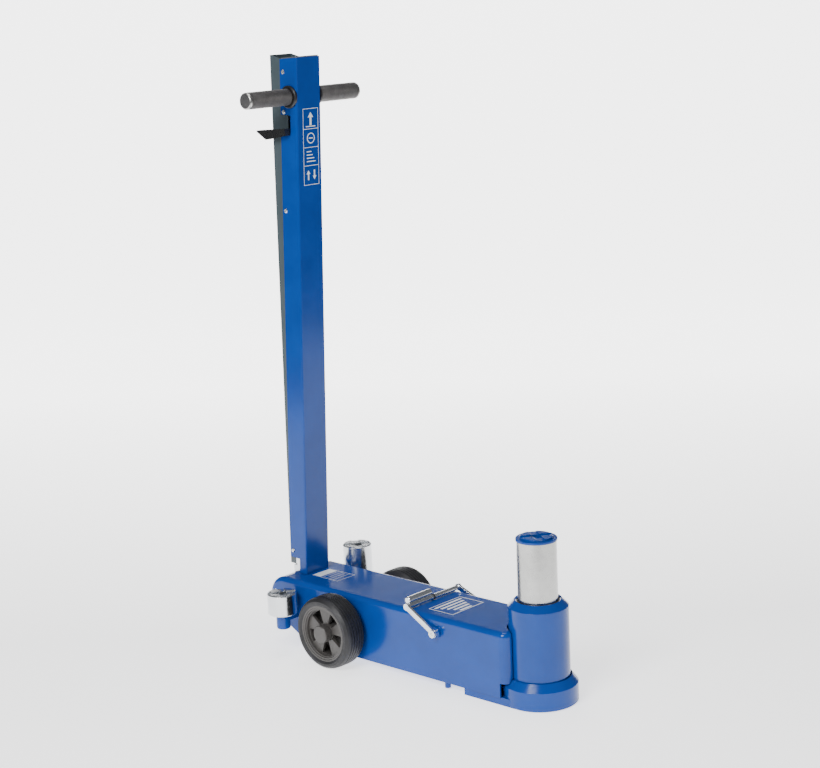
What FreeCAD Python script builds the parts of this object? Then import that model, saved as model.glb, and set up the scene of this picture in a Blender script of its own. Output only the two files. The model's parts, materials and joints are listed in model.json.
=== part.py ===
import FreeCAD, Part
import math
import os

os.makedirs("parts", exist_ok=True)

# Air-hydraulic jack on wheels. Millimetres, +Z up. The origin is on the floor, on the
# axis of the lifting ram. +X points from the handle towards the ram, so -X is the
# operator's end, and the two long sides of the chassis are at -Y and +Y.

# Named clearances
RUNNING_FIT = 0.05      # radial, round shaft in its bore
SLIDE_FIT = 0.1         # radial, loose plug in its socket
SEAT_GAP = 0.3          # between bodies that rest on each other
WELD_GAP = 0.02         # between pieces of one body that are fixed together

# Foot casting and cylinder
FOOT_RADIUS = 78.2
FOOT_SIDE_HEIGHT = 40.0
FOOT_TOP = 55.9
FOOT_NECK_RADIUS = 66.0
FOOT_FLOOR = 25.0
FOOT_EDGE = 2.0
FOOT_GROOVE = 2.2           # open ring round the cylinder where it enters the foot
FOOT_GROOVE_DEPTH = 9.0
TONGUE_LENGTH = 142.0
TONGUE_THICKNESS = 17.0
TONGUE_SIDE_GAP = 0.5
CYLINDER_RADIUS = 62.4
CYLINDER_WALL = 12.4
CYLINDER_TOP = 202.7
HEAD_TOP = 215.8
HEAD_LIP = 5.8              # flat rim round the ram
HEAD_SPIGOT = 18.0

# Rams
OUTER_RAM_RADIUS = 41.2
OUTER_RAM_WALL = 5.2
INNER_RAM_GAP = 5.7         # between the inner ram and the outer ram's bore
INNER_RAM_WALL = 10.3
PISTON_HEIGHT = 22.0
RAM_RAISED = 124.5      # how far the outer ram stands above its lowest place
INNER_PISTON_HEIGHT = 18.0
OIL_HOLE_RADIUS = 6.0
COLLAR_LIP = 1.8
COLLAR_HEIGHT = 4.9
COLLAR_THREAD = 2.0
COLLAR_SPIGOT = 18.6
SEAL_HEIGHT = 5.0
SEAL_DEPTH = 3.0

# Saddle and loose adaptors
SADDLE_INSET = 6.8          # inside the outer ram's radius
SADDLE_PROUD = 3.9      # above the collar
SADDLE_DISC = 13.0
SADDLE_STEM = 24.0
SOCKET_RADIUS = 12.5
SOCKET_DEPTH = 25.0
CHANNEL_WIDTH = 17.0
CHANNEL_DEPTH = 2.5
CHANNEL_TURN = -35.0
ADAPTOR_RADIUS = 32.8
ADAPTOR_EDGE = 2.0
SHORT_ADAPTOR = 48.0
TALL_ADAPTOR = 100.0
SPIGOT_LENGTH = 21.0
ADAPTOR_X = -632.7
ADAPTOR_Y = 121.5
HOLDER_RADIUS = 15.5
HOLDER_TOP = 92.5
HOLDER_HEIGHT = 35.0
HOLDER_ROUND = 4.0
WEB_THICKNESS = 12.0
WEB_HEIGHT = 19.0

# Chassis shell
CHASSIS_HALF_WIDTH = 80.7
CHASSIS_TOP = 156.7
CHASSIS_BOTTOM = 16.6
CHASSIS_REAR = -717.0
CHASSIS_FRONT = -21.0
SHEET = 4.0
TOP_EDGE_RADIUS = 11.0
REAR_BEND_RADIUS = 45.0
FRONT_BEND_RADIUS = 20.0
REAR_CUT_START = -598.0     # where the underside turns up towards the rear
REAR_CUT_HEIGHT = 82.0      # height of the rear wall's lower edge
CYLINDER_GAP = 3.0
FOOT_GAP = 1.5
NOTCH_REAR = -41.0
NOTCH_TOP = 47.9
FLOOR_SHEET = 4.0
FLOOR_BOLT_X = -193.0
FLOOR_BOLT_Y = 70.0
FLOOR_BOLT_RADIUS = 6.5
FLOOR_BOLT_BOTTOM = 3.0

# Wheels and axle
WHEEL_RADIUS = 80.0
WHEEL_WIDTH = 58.0
WHEEL_OUTER_FACE = 146.6
AXLE_X = -487.8
AXLE_RADIUS = 10.0
AXLE_HALF_LENGTH = 140.5
AXLE_BOSS_RADIUS = 15.0
AXLE_BOSS_END = 88.0
RIM_RADIUS = 62.0
RIM_INNER_RADIUS = 52.0
RIM_HUB_RADIUS = 18.5
RIM_HUB_SET_BACK = 10.0
SPOKE_COUNT = 5
SPOKE_SET_BACK = 15.0
SPOKE_THICKNESS = 7.0
SPOKE_ANGLE = 38.0
CAP_RADIUS = 19.5
CAP_WALL = 3.0
CAP_LENGTH = 14.0
CAP_PROUD = 5.0             # how far it stands out of the tyre's face
RIM_LIP_SET_BACK = 3.0      # of the rim's outer edge from the tyre's face
RIM_STEP_SET_BACK = 8.0     # of the rim's inner step from the tyre's face
BACK_WEB = 2.5
CLIP_RADIUS = 14.0
CLIP_THICKNESS = 2.0
TREAD_GROOVES = (-15.0, -8.0, 0.0, 8.0, 15.0)
GROOVE_WIDTH = 1.8
GROOVE_DEPTH = 1.6

# Carry handle
CARRY_X = -208.0
CARRY_Z = 124.3
CARRY_REACH_X = -82.0
CARRY_REACH_Z = 39.0
CARRY_INSET = 9.0           # how far each arm leans in at the crossbar
CARRY_BOSS_RADIUS = 12.0
CARRY_BOSS_END = 88.0
CARRY_ARM_THICKNESS = 6.0
CARRY_EYE_RADIUS = 9.0
CARRY_ARM_HALF_HEIGHT = 5.5
CARRY_BOLT_RADIUS = 5.0
CARRY_BOLT_HEAD_RADIUS = 8.5
CARRY_BOLT_HEAD = 4.0
CARRY_ROD_RADIUS = 5.5
CARRY_KNUCKLE_RADIUS = 7.5
CARRY_BUFFER_WIDTH = 3.5
GRIP_BAR_RADIUS = 7.5
GRIP_BAR_LENGTH = 72.0
GRIP_BAR_BACK = 5.0

# Steering handle, in its own upright frame before it leans
HANDLE_LEAN = 2.77
HANDLE_FRONT = -640.5
HANDLE_DEPTH = 49.8
HANDLE_HALF_WIDTH = 36.0
HANDLE_SHEET = 3.0
HANDLE_BEND = 4.0
HANDLE_TOP = 1306.0
HANDLE_TOP_SLOPE = 5.0
PIVOT_X = -665.0
PIVOT_Z = 202.0
PIVOT_RADIUS = 8.0
FOOT_NOTCH_HEIGHT = 33.0
FOOT_NOTCH_DEPTH = 29.0
LEVER_NOTCH_BOTTOM = 1141.0
LEVER_NOTCH_TOP = 1184.0
LEVER_NOTCH_DEPTH = 29.3
YOKE_THICKNESS = 3.0
YOKE_EDGE = 2.5             # steel behind the pivot pin
YOKE_BOTTOM = 176.0
YOKE_TOP = 240.0
BRACKET_HEAD_RADIUS = 16.0
BRACKET_CHEEK_INNER = 20.0
BRACKET_CHEEK_OUTER = 26.0
QUADRANT_RADIUS = 16.5
QUADRANT_HALF_WIDTH = 5.0
QUADRANT_NOTCH_DEPTH = 4.0
QUADRANT_NOTCHES = (0.0, 40.0, 80.0)
BRACKET_LEG_HALF_LENGTH = 16.0
BRACKET_REAR_LUG = 27.0
BRACKET_LUG_HEIGHT = 14.0

# Rear cover of the handle
COVER_SHEET = 2.0
COVER_SIDE_GAP = 1.7        # room for the top bracket's flange beside it
COVER_BOTTOM = 174.0
COVER_BOTTOM_DEPTH = 4.2    # how far it stands out of the handle at its lower end
COVER_TOP_DEPTH = 34.5
COVER_TOP_RISE = 7.0
COVER_LAP = 17.0
COVER_MOUTH = 20.0          # its rear sheet starts this far above the pivot, to clear the bracket
LOW_SCREW_HEIGHTS = (206.1, 977.5, 1189.9)
TOP_SCREW_DROP = 31.3       # below the top of the handle
SCREW_INSET = 9.0
SCREW_HEAD_RADIUS = 5.2
SCREW_HEAD_HEIGHT = 2.6
SCREW_RADIUS = 2.5
SCREW_LENGTH = 7.5

# Crossbar and valve
CROSSBAR_X = -662.7
CROSSBAR_Z = 1223.0
CROSSBAR_RADIUS = 13.0
CROSSBAR_HALF_LENGTH = 163.5
CROSSBAR_END = 5.2
GRIP_RADIUS = 18.0
GRIP_EDGE = 1.5
COLLAR_FLANGE_RADIUS = 24.0
COLLAR_FLANGE = 6.0
COLLAR_BUSH_RADIUS = 16.0
FORK_REACH = 22.0
FORK_SLOT_CLEARANCE = 0.8
FORK_TINE = 3.0
FORK_GAP_HALF = 4.5
SPOOL_RADIUS = 4.0
SPOOL_PIN_RADIUS = 2.5
SPOOL_BOTTOM = 1166.0
VALVE_BOTTOM = 1171.0
VALVE_TOP = 1198.0
VALVE_HALF = 12.0
BRACKET_SHEET = 1.5
BRACKET_TOP_PROUD = 2.5
BRACKET_FLANGE_HEIGHT = 40.0

# Release lever and lock rod
LEVER_PIVOT_X = -650.0
LEVER_PIVOT_Z = 1150.0
LEVER_PIN_RADIUS = 3.0
LEVER_PIN_COVER = 1.0       # steel left outside the pin's ends
LEVER_HUB_RADIUS = 6.0
LEVER_ARM = 3.0
LEVER_ARM_GAP = 1.5         # between the lock rod and each arm
LEVER_WALL_GAP = 4.0        # between the notch's front edge and the step that passes through it
LEVER_TIP = -749.0
LEVER_DROOP = 6.0
LEVER_HEIGHT = 14.0
LEVER_STEP_GAP = 1.5        # between the grey cover's lap and the lever's step
LEVER_TIP_SHARE = 0.3       # of the blade's length that the slanting tip takes
LEVER_FLARE = 7.0           # how much deeper the blade is near its tip
LEVER_INNER_Y = 37.6
LEVER_OUTER_Y = 53.6
LEVER_SHEET = 2.5
LOCK_ROD_RADIUS = 4.0
LOCK_PIN_RADIUS = 2.5
LOCK_SLOT_CLEARANCE = 0.6
PLUNGER_RADIUS = 6.0
PLUNGER_TIP_GAP = 0.5
PLUNGER_TOP = 312.0
PLUNGER_COLLAR_RADIUS = 10.0
PLUNGER_COLLAR_BOTTOM = 232.0
PLUNGER_COLLAR = 4.0
GUIDE_BOTTOM = 268.0
GUIDE_TOP = 300.0
SPRING_RADIUS = 8.5
SPRING_WIRE = 0.9
SPRING_TURNS = 6
HOSE_RADIUS = 5.0
HOSE_Y = 20.0

# Tank, pump and air motor inside the chassis
TANK_REAR = -465.0
TANK_FRONT = -330.0
TANK_HALF_WIDTH = 70.0
TANK_TOP = 125.0
TANK_SHEET = 3.0
PLUG_RADIUS = 9.0
MOTOR_RADIUS = 42.0
MOTOR_BORE = 38.0
MOTOR_Z = 76.0
MOTOR_REAR = -290.0
MOTOR_CAP = 7.0
MOTOR_CAP_RADIUS = 46.0
PUMP_FRONT = -79.5
PUMP_HALF_WIDTH = 60.0
PUMP_TOP = 118.0
PUMP_SCREW_Y = 50.0
PUMP_SCREW_HEAD_RADIUS = 7.0
PUMP_SCREW_HEAD = 8.0
PLUNGER_BORE_END = -86.0
AIR_PISTON_X = -287.5
AIR_PISTON_THICKNESS = 12.0
AIR_PLUNGER_RADIUS = 9.0
AIR_PLUNGER_END = -122.0
AIR_SPRING_RADIUS = 24.0
AIR_SPRING_WIRE = 1.8
AIR_SPRING_TURNS = 7
OIL_PIPE_Y = 54.0
OIL_PIPE_Z = 36.0
LOWER_HOSE_Z = 138.0
LOWER_HOSE_DROP_X = -313.0
LOWER_HOSE_BEND = 13.0
LOWER_HOSE_END_X = -648.0
INLET_Z = 98.0
INLET_HEX_RADIUS = 11.0
INLET_HEX = 9.0
INLET_RADIUS = 6.0
INLET_LENGTH = 20.0

# Sizes that follow from the ones above
CYLINDER_BORE = CYLINDER_RADIUS - CYLINDER_WALL
HEAD_LIP_RADIUS = OUTER_RAM_RADIUS + HEAD_LIP
OUTER_RAM_BORE = OUTER_RAM_RADIUS - OUTER_RAM_WALL
INNER_RAM_RADIUS = OUTER_RAM_BORE - INNER_RAM_GAP
COLLAR_RADIUS = OUTER_RAM_RADIUS + COLLAR_LIP
COLLAR_SPIGOT_RADIUS = OUTER_RAM_BORE + COLLAR_THREAD
SADDLE_RADIUS = OUTER_RAM_RADIUS - SADDLE_INSET
SADDLE_STEM_RADIUS = INNER_RAM_RADIUS - INNER_RAM_WALL
SCREW_HEIGHTS = LOW_SCREW_HEIGHTS + (HANDLE_TOP - TOP_SCREW_DROP,)
CHASSIS_INNER = CHASSIS_HALF_WIDTH - SHEET
TONGUE_HALF_WIDTH = CHASSIS_INNER - TONGUE_SIDE_GAP
HANDLE_BOTTOM = CHASSIS_TOP + SEAT_GAP
HANDLE_REAR = HANDLE_FRONT - HANDLE_DEPTH
HANDLE_INNER = HANDLE_HALF_WIDTH - HANDLE_SHEET
HANDLE_FRONT_INNER = HANDLE_FRONT - HANDLE_SHEET
OUTER_RAM_TOP = HEAD_TOP + SEAT_GAP + RAM_RAISED
OUTER_RAM_BOTTOM = FOOT_FLOOR + SEAT_GAP + RAM_RAISED
OUTER_RAM_FLOOR = OUTER_RAM_BOTTOM + PISTON_HEIGHT
COLLAR_TOP = OUTER_RAM_TOP + COLLAR_HEIGHT
COLLAR_BOTTOM = OUTER_RAM_TOP - COLLAR_SPIGOT
SADDLE_TOP = COLLAR_TOP + SADDLE_PROUD
SADDLE_BOTTOM = SADDLE_TOP - SADDLE_DISC
CARRY_ROD_X = CARRY_X + CARRY_REACH_X
CARRY_ROD_Z = CARRY_Z + CARRY_REACH_Z
CARRY_ARM_INNER = CARRY_BOSS_END + SEAT_GAP
CARRY_ARM_OUTER = CARRY_ARM_INNER + CARRY_ARM_THICKNESS
WHEEL_MIDDLE = WHEEL_OUTER_FACE - WHEEL_WIDTH / 2
SIDES = (-1, 1)

X_AXIS = FreeCAD.Vector(1, 0, 0)
Y_AXIS = FreeCAD.Vector(0, 1, 0)
Z_AXIS = FreeCAD.Vector(0, 0, 1)


def at(x, y, z):
    return FreeCAD.Vector(x, y, z)


def slab(x, y, z):
    """A box between the low and high values given for each axis."""
    low = at(min(x), min(y), min(z))
    return Part.makeBox(abs(x[1] - x[0]), abs(y[1] - y[0]), abs(z[1] - z[0]), low)


def post(x, y, low, high, radius):
    """A vertical cylinder."""
    return Part.makeCylinder(radius, high - low, at(x, y, low), Z_AXIS)


def bar_y(x, z, ends, radius):
    """A cylinder along Y, between two values of y."""
    return Part.makeCylinder(radius, max(ends) - min(ends), at(x, min(ends), z), Y_AXIS)


def bar_x(y, z, ends, radius):
    """A cylinder along X, between two values of x."""
    return Part.makeCylinder(radius, max(ends) - min(ends), at(min(ends), y, z), X_AXIS)


def prism_y(points, low, high):
    """A polygon of (x, z) points, extruded along Y."""
    corners = [at(x, low, z) for x, z in points]
    face = Part.Face(Part.makePolygon(corners + corners[:1]))
    return face.extrude(at(0, high - low, 0))


def turned(points, x=0.0, y=0.0):
    """A closed outline of (radius, z) points, turned about a vertical axis."""
    corners = [at(x + r, y, z) for r, z in points]
    face = Part.Face(Part.makePolygon(corners + corners[:1]))
    return face.revolve(at(x, y, 0), Z_AXIS, 360)


def turned_y(points, x, z):
    """A closed outline of (radius, y) points, turned about an axis along Y."""
    corners = [at(x, y, z + r) for r, y in points]
    face = Part.Face(Part.makePolygon(corners + corners[:1]))
    return face.revolve(at(x, 0, z), Y_AXIS, 360)


def mirrored(shape):
    """The same piece on the other side of the chassis."""
    return shape.mirror(at(0, 0, 0), Y_AXIS)


def both_sides(shape):
    return Part.makeCompound([shape, mirrored(shape)])


def coil(radius, wire, low, high, turns, place, direction):
    """A round-wire spring, as one helix swept by its wire."""
    length = high - low - 2 * wire
    path = Part.makeHelix(length / turns, length, radius)
    profile = Part.Wire(Part.makeCircle(wire, at(radius, 0, 0), Y_AXIS))
    spring = Part.Wire(path).makePipeShell([profile], True, True)
    spring.translate(at(0, 0, low + wire))
    if direction == "x":
        spring.rotate(at(0, 0, 0), Y_AXIS, 90)
    spring.translate(place)
    return spring


def lean(shape):
    """Handle pieces are made upright, then leaned forward about the handle's front foot."""
    leaned = shape.copy()
    leaned.rotate(at(HANDLE_FRONT, 0, HANDLE_BOTTOM), Y_AXIS, HANDLE_LEAN)
    return leaned


def export(name, shape):
    shape.exportStep("parts/" + name + ".step")


# ---------------------------------------------------------------- foot and cylinder

def foot_outline(grow):
    """Half section of the round foot, grown outwards for whatever has to clear it."""
    return [
        (0, -grow),
        (FOOT_RADIUS + grow, -grow),
        (FOOT_RADIUS + grow, FOOT_SIDE_HEIGHT + grow * 0.4),
        (FOOT_NECK_RADIUS + grow, FOOT_TOP + grow),
        (0, FOOT_TOP + grow),
    ]


def base_foot():
    foot = turned([
        (0, 0),
        (FOOT_RADIUS - FOOT_EDGE, 0),
        (FOOT_RADIUS, FOOT_EDGE),
        (FOOT_RADIUS, FOOT_SIDE_HEIGHT),
        (FOOT_NECK_RADIUS, FOOT_TOP),
        (0, FOOT_TOP),
    ])
    tongue = slab((-TONGUE_LENGTH, 0), (-TONGUE_HALF_WIDTH, TONGUE_HALF_WIDTH), (0, TONGUE_THICKNESS))
    seat = post(0, 0, FOOT_FLOOR, FOOT_TOP + 1, CYLINDER_RADIUS + WELD_GAP)
    groove = post(0, 0, FOOT_TOP - FOOT_GROOVE_DEPTH, FOOT_TOP + 1, CYLINDER_RADIUS + FOOT_GROOVE)
    return foot.fuse(tongue).cut([seat, groove]).removeSplitter()


def cylinder_tube():
    outer = post(0, 0, FOOT_FLOOR, CYLINDER_TOP - WELD_GAP, CYLINDER_RADIUS)
    return outer.cut(post(0, 0, FOOT_FLOOR, CYLINDER_TOP, CYLINDER_BORE))


def ring_groove(low, inner, outer):
    return post(0, 0, low, low + SEAL_HEIGHT, outer).cut(post(0, 0, low, low + SEAL_HEIGHT, inner))


def head_seal_places():
    wiper = HEAD_TOP - SEAL_HEIGHT - 1.5
    packing = CYLINDER_TOP - HEAD_SPIGOT + 4.0
    return wiper, packing


def cylinder_head():
    bore = OUTER_RAM_RADIUS + RUNNING_FIT
    head = turned([
        (bore, CYLINDER_TOP - HEAD_SPIGOT),
        (CYLINDER_BORE - WELD_GAP, CYLINDER_TOP - HEAD_SPIGOT),
        (CYLINDER_BORE - WELD_GAP, CYLINDER_TOP),
        (CYLINDER_RADIUS, CYLINDER_TOP),
        (HEAD_LIP_RADIUS + 2.0, HEAD_TOP),
        (HEAD_LIP_RADIUS, HEAD_TOP),
        (bore + SEAL_DEPTH, HEAD_TOP - 1.5),
        (bore, HEAD_TOP - 1.5),
    ])
    for low in head_seal_places():
        head = head.cut(ring_groove(low, bore - 1, bore + SEAL_DEPTH))
    return head


def head_seals():
    bore = OUTER_RAM_RADIUS + RUNNING_FIT
    rings = [ring_groove(low, bore, bore + SEAL_DEPTH - WELD_GAP) for low in head_seal_places()]
    return Part.makeCompound(rings)


# ---------------------------------------------------------------- rams and saddle

def outer_ram():
    piston_radius = CYLINDER_BORE - RUNNING_FIT
    ram = turned([
        (OIL_HOLE_RADIUS, OUTER_RAM_BOTTOM),
        (piston_radius, OUTER_RAM_BOTTOM),
        (piston_radius, OUTER_RAM_FLOOR),
        (OUTER_RAM_RADIUS, OUTER_RAM_FLOOR),
        (OUTER_RAM_RADIUS, OUTER_RAM_TOP - WELD_GAP),
        (COLLAR_SPIGOT_RADIUS + WELD_GAP, OUTER_RAM_TOP - WELD_GAP),
        (COLLAR_SPIGOT_RADIUS + WELD_GAP, COLLAR_BOTTOM),
        (OUTER_RAM_BORE, COLLAR_BOTTOM),
        (OUTER_RAM_BORE, OUTER_RAM_FLOOR),
        (OIL_HOLE_RADIUS, OUTER_RAM_FLOOR),
    ])
    low = OUTER_RAM_BOTTOM + PISTON_HEIGHT / 2 - SEAL_HEIGHT / 2
    return ram.cut(ring_groove(low, piston_radius - SEAL_DEPTH, piston_radius + 1))


def collar_seal_place():
    return COLLAR_BOTTOM + 4.0


def outer_ram_seals():
    piston_radius = CYLINDER_BORE - RUNNING_FIT
    low = OUTER_RAM_BOTTOM + PISTON_HEIGHT / 2 - SEAL_HEIGHT / 2
    piston_ring = ring_groove(low, piston_radius - SEAL_DEPTH, piston_radius)
    bore = INNER_RAM_RADIUS + RUNNING_FIT
    rod_ring = ring_groove(collar_seal_place(), bore, bore + SEAL_DEPTH)
    return Part.makeCompound([piston_ring, rod_ring])


def ram_collar():
    bore = INNER_RAM_RADIUS + RUNNING_FIT
    recess = SADDLE_RADIUS + SEAT_GAP
    collar = turned([
        (bore, COLLAR_BOTTOM),
        (COLLAR_SPIGOT_RADIUS, COLLAR_BOTTOM),
        (COLLAR_SPIGOT_RADIUS, OUTER_RAM_TOP),
        (COLLAR_RADIUS, OUTER_RAM_TOP),
        (COLLAR_RADIUS, COLLAR_TOP - 1.0),
        (COLLAR_RADIUS - 1.0, COLLAR_TOP),
        (recess, COLLAR_TOP),
        (recess, SADDLE_BOTTOM - SEAT_GAP),
        (bore, SADDLE_BOTTOM - SEAT_GAP),
    ])
    return collar.cut(ring_groove(collar_seal_place(), bore - 1, bore + SEAL_DEPTH + WELD_GAP))


def inner_ram():
    low = OUTER_RAM_FLOOR + SEAT_GAP
    piston_radius = OUTER_RAM_BORE - RUNNING_FIT
    top = SADDLE_BOTTOM - WELD_GAP
    stem_floor = SADDLE_BOTTOM - SADDLE_STEM
    ram = turned([
        (0, low),
        (piston_radius, low),
        (piston_radius, low + INNER_PISTON_HEIGHT),
        (INNER_RAM_RADIUS, low + INNER_PISTON_HEIGHT),
        (INNER_RAM_RADIUS, top),
        (SADDLE_STEM_RADIUS + WELD_GAP, top),
        (SADDLE_STEM_RADIUS + WELD_GAP, stem_floor),
        (0, stem_floor),
    ])
    seal_low = low + INNER_PISTON_HEIGHT / 2 - SEAL_HEIGHT / 2
    return ram.cut(ring_groove(seal_low, piston_radius - SEAL_DEPTH, piston_radius + 1))


def inner_ram_seal():
    low = OUTER_RAM_FLOOR + SEAT_GAP + INNER_PISTON_HEIGHT / 2 - SEAL_HEIGHT / 2
    piston_radius = OUTER_RAM_BORE - RUNNING_FIT
    return ring_groove(low, piston_radius - SEAL_DEPTH, piston_radius)


def cross_channels(x, y, top, turn):
    """Two crossing grooves in the top face of a saddle or an adaptor."""
    reach = 2 * ADAPTOR_RADIUS
    half = CHANNEL_WIDTH / 2
    floor = top - CHANNEL_DEPTH
    one = slab((x - reach, x + reach), (y - half, y + half), (floor, top + 1))
    two = slab((x - half, x + half), (y - reach, y + reach), (floor, top + 1))
    cross = one.fuse(two)
    cross.rotate(at(x, y, 0), Z_AXIS, turn)
    return cross


def saddle():
    stem_low = SADDLE_BOTTOM - SADDLE_STEM
    head = turned([
        (0, stem_low),
        (SADDLE_STEM_RADIUS, stem_low),
        (SADDLE_STEM_RADIUS, SADDLE_BOTTOM),
        (SADDLE_RADIUS, SADDLE_BOTTOM),
        (SADDLE_RADIUS, SADDLE_TOP - 1.5),
        (SADDLE_RADIUS - 1.5, SADDLE_TOP),
        (0, SADDLE_TOP),
    ])
    floor = SADDLE_TOP - CHANNEL_DEPTH - SOCKET_DEPTH
    head = head.cut(post(0, 0, floor, SADDLE_TOP + 1, SOCKET_RADIUS))
    return head.cut(cross_channels(0, 0, SADDLE_TOP, CHANNEL_TURN))


def adaptor(side, height):
    """Loose extension: its spigot stands in a holder on the chassis, its top matches the saddle."""
    x = ADAPTOR_X
    y = side * ADAPTOR_Y
    low = HOLDER_TOP + SEAT_GAP
    top = low + height
    spigot = SOCKET_RADIUS - SLIDE_FIT
    body = turned([
        (0, low - SPIGOT_LENGTH),
        (spigot - 1.0, low - SPIGOT_LENGTH),
        (spigot, low - SPIGOT_LENGTH + 1.0),
        (spigot, low),
        (ADAPTOR_RADIUS - ADAPTOR_EDGE, low),
        (ADAPTOR_RADIUS, low + ADAPTOR_EDGE),
        (ADAPTOR_RADIUS, top - ADAPTOR_EDGE),
        (ADAPTOR_RADIUS - ADAPTOR_EDGE, top),
        (0, top),
    ], x, y)
    body = body.cut(post(x, y, top - CHANNEL_DEPTH - SOCKET_DEPTH, top + 1, SOCKET_RADIUS))
    return body.cut(cross_channels(x, y, top, CHANNEL_TURN))


def adaptor_holder(side):
    """Socket tube on a web that is welded to the chassis side."""
    x = ADAPTOR_X
    y = side * ADAPTOR_Y
    low = HOLDER_TOP - HOLDER_HEIGHT
    tube = turned([
        (0, low),
        (HOLDER_RADIUS - HOLDER_ROUND, low),
        (HOLDER_RADIUS - HOLDER_ROUND * 0.3, low + HOLDER_ROUND * 0.3),
        (HOLDER_RADIUS, low + HOLDER_ROUND),
        (HOLDER_RADIUS, HOLDER_TOP),
        (0, HOLDER_TOP),
    ], x, y)
    wall = side * (CHASSIS_HALF_WIDTH + WELD_GAP)
    half = WEB_THICKNESS / 2
    web = slab((x - half, x + half), (wall, y), (HOLDER_TOP - WEB_HEIGHT, HOLDER_TOP))
    nub = post(x, y, low - 2.5, low, 3.0)
    socket = post(x, y, HOLDER_TOP - SPIGOT_LENGTH - 1.0, HOLDER_TOP + 1, SOCKET_RADIUS)
    return tube.fuse([web, nub]).cut(socket)


# ---------------------------------------------------------------- chassis

def chassis_profile(inset):
    """Side outline of the chassis shell: flat top, bent rear end, underside cut up to the rear."""
    top = CHASSIS_TOP - inset
    rear = CHASSIS_REAR + inset
    radius = REAR_BEND_RADIUS - inset
    bend_x = rear + radius
    bend_z = top - radius
    diagonal = math.sqrt(0.5)
    middle = at(bend_x - radius * diagonal, 0, bend_z + radius * diagonal)
    bottom = CHASSIS_BOTTOM - inset
    front = CYLINDER_RADIUS
    edges = [
        Part.LineSegment(at(front, 0, bottom), at(front, 0, top)).toShape(),
        Part.LineSegment(at(front, 0, top), at(bend_x, 0, top)).toShape(),
        Part.Arc(at(bend_x, 0, top), middle, at(rear, 0, bend_z)).toShape(),
        Part.LineSegment(at(rear, 0, bend_z), at(rear, 0, REAR_CUT_HEIGHT - inset)).toShape(),
        Part.LineSegment(at(rear, 0, REAR_CUT_HEIGHT - inset), at(REAR_CUT_START, 0, bottom)).toShape(),
        Part.LineSegment(at(REAR_CUT_START, 0, bottom), at(front, 0, bottom)).toShape(),
    ]
    return Part.Face(Part.Wire(edges))


def chassis_solid(inset):
    """The chassis as a filled shape, drawn inwards by the sheet thickness for the hollow."""
    half = CHASSIS_HALF_WIDTH - inset
    body = chassis_profile(inset)
    body.translate(at(0, -half, 0))
    body = body.extrude(at(0, 2 * half, 0))
    front = CHASSIS_FRONT - inset
    body = body.cut(slab((front, CYLINDER_RADIUS + 1), (-half - 1, half + 1), (-10, CHASSIS_TOP + 10)))
    upright = [edge for edge in body.Edges if is_front_upright(edge, front)]
    body = body.makeFillet(FRONT_BEND_RADIUS - inset, upright)
    crown = [edge for edge in body.Edges if is_crown_edge(edge, half, front)]
    return body.makeFillet(TOP_EDGE_RADIUS - inset, crown)


def is_front_upright(edge, front):
    box = edge.BoundBox
    return box.ZLength > 50 and abs(box.XMin - front) < 0.01 and box.XLength < 0.01


def is_crown_edge(edge, half, front):
    """Long top edges, the bent rear edges and the bends at the front, where side and top meet."""
    box = edge.BoundBox
    on_side = box.YLength < 0.01 and abs(abs(box.YMin) - half) < 0.01
    high = box.ZMax > CHASSIS_TOP - 10 and box.ZMin > CHASSIS_TOP - REAR_BEND_RADIUS - 1
    level = box.ZLength < 0.01 and box.ZMin > CHASSIS_TOP - 10
    front_bend = level and box.XMax > front - 1 and box.YLength < 30
    return (on_side and high and box.XLength > 1) or front_bend


def chassis_cover():
    shell = chassis_solid(0).cut(chassis_solid(SHEET))
    below = CHASSIS_BOTTOM - SHEET - 1
    shell = shell.cut(post(0, 0, below, CHASSIS_TOP + 1, CYLINDER_RADIUS + CYLINDER_GAP))
    shell = shell.cut(turned(foot_outline(FOOT_GAP)))
    notch = slab((NOTCH_REAR, CYLINDER_RADIUS), (-100, 100), (below, NOTCH_TOP))
    shell = shell.cut(notch)
    shell = shell.cut(bar_y(AXLE_X, WHEEL_RADIUS, (-100, 100), AXLE_BOSS_RADIUS + WELD_GAP))
    rear_wall = (CHASSIS_REAR - 1, CHASSIS_REAR + SHEET + 2)
    shell = shell.cut(bar_x(0, INLET_Z, rear_wall, INLET_RADIUS + WELD_GAP))
    for side in SIDES:
        boss = bar_y(CARRY_X, CARRY_Z, (side * CHASSIS_INNER, side * CARRY_BOSS_END), CARRY_BOSS_RADIUS)
        shell = shell.fuse(boss)
        shank = bar_y(CARRY_X, CARRY_Z, (side * (CHASSIS_INNER - 1), side * 90), CARRY_BOLT_RADIUS + WELD_GAP)
        shell = shell.cut(shank)
    return max(shell.removeSplitter().Solids, key=lambda solid: solid.Volume)


def chassis_floor():
    """Bottom plate between the two side walls, turned up with the underside at the rear."""
    low = TONGUE_THICKNESS + WELD_GAP
    high = low + FLOOR_SHEET
    inner_rear = CHASSIS_REAR + SHEET
    drop = REAR_CUT_HEIGHT - SHEET / 2
    outline = [
        (-TONGUE_LENGTH - WELD_GAP, low),
        (REAR_CUT_START, low),
        (inner_rear, drop),
        (inner_rear, drop + FLOOR_SHEET),
        (REAR_CUT_START, high),
        (-TONGUE_LENGTH - WELD_GAP, high),
    ]
    half = CHASSIS_INNER - WELD_GAP
    plate = prism_y(outline, -half, half)
    for side in SIDES:
        hole = post(FLOOR_BOLT_X, side * FLOOR_BOLT_Y, low - 1, high + 1, FLOOR_BOLT_RADIUS / 2 + WELD_GAP)
        plate = plate.cut(hole)
    return plate.common(chassis_solid(SHEET + WELD_GAP))


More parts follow.
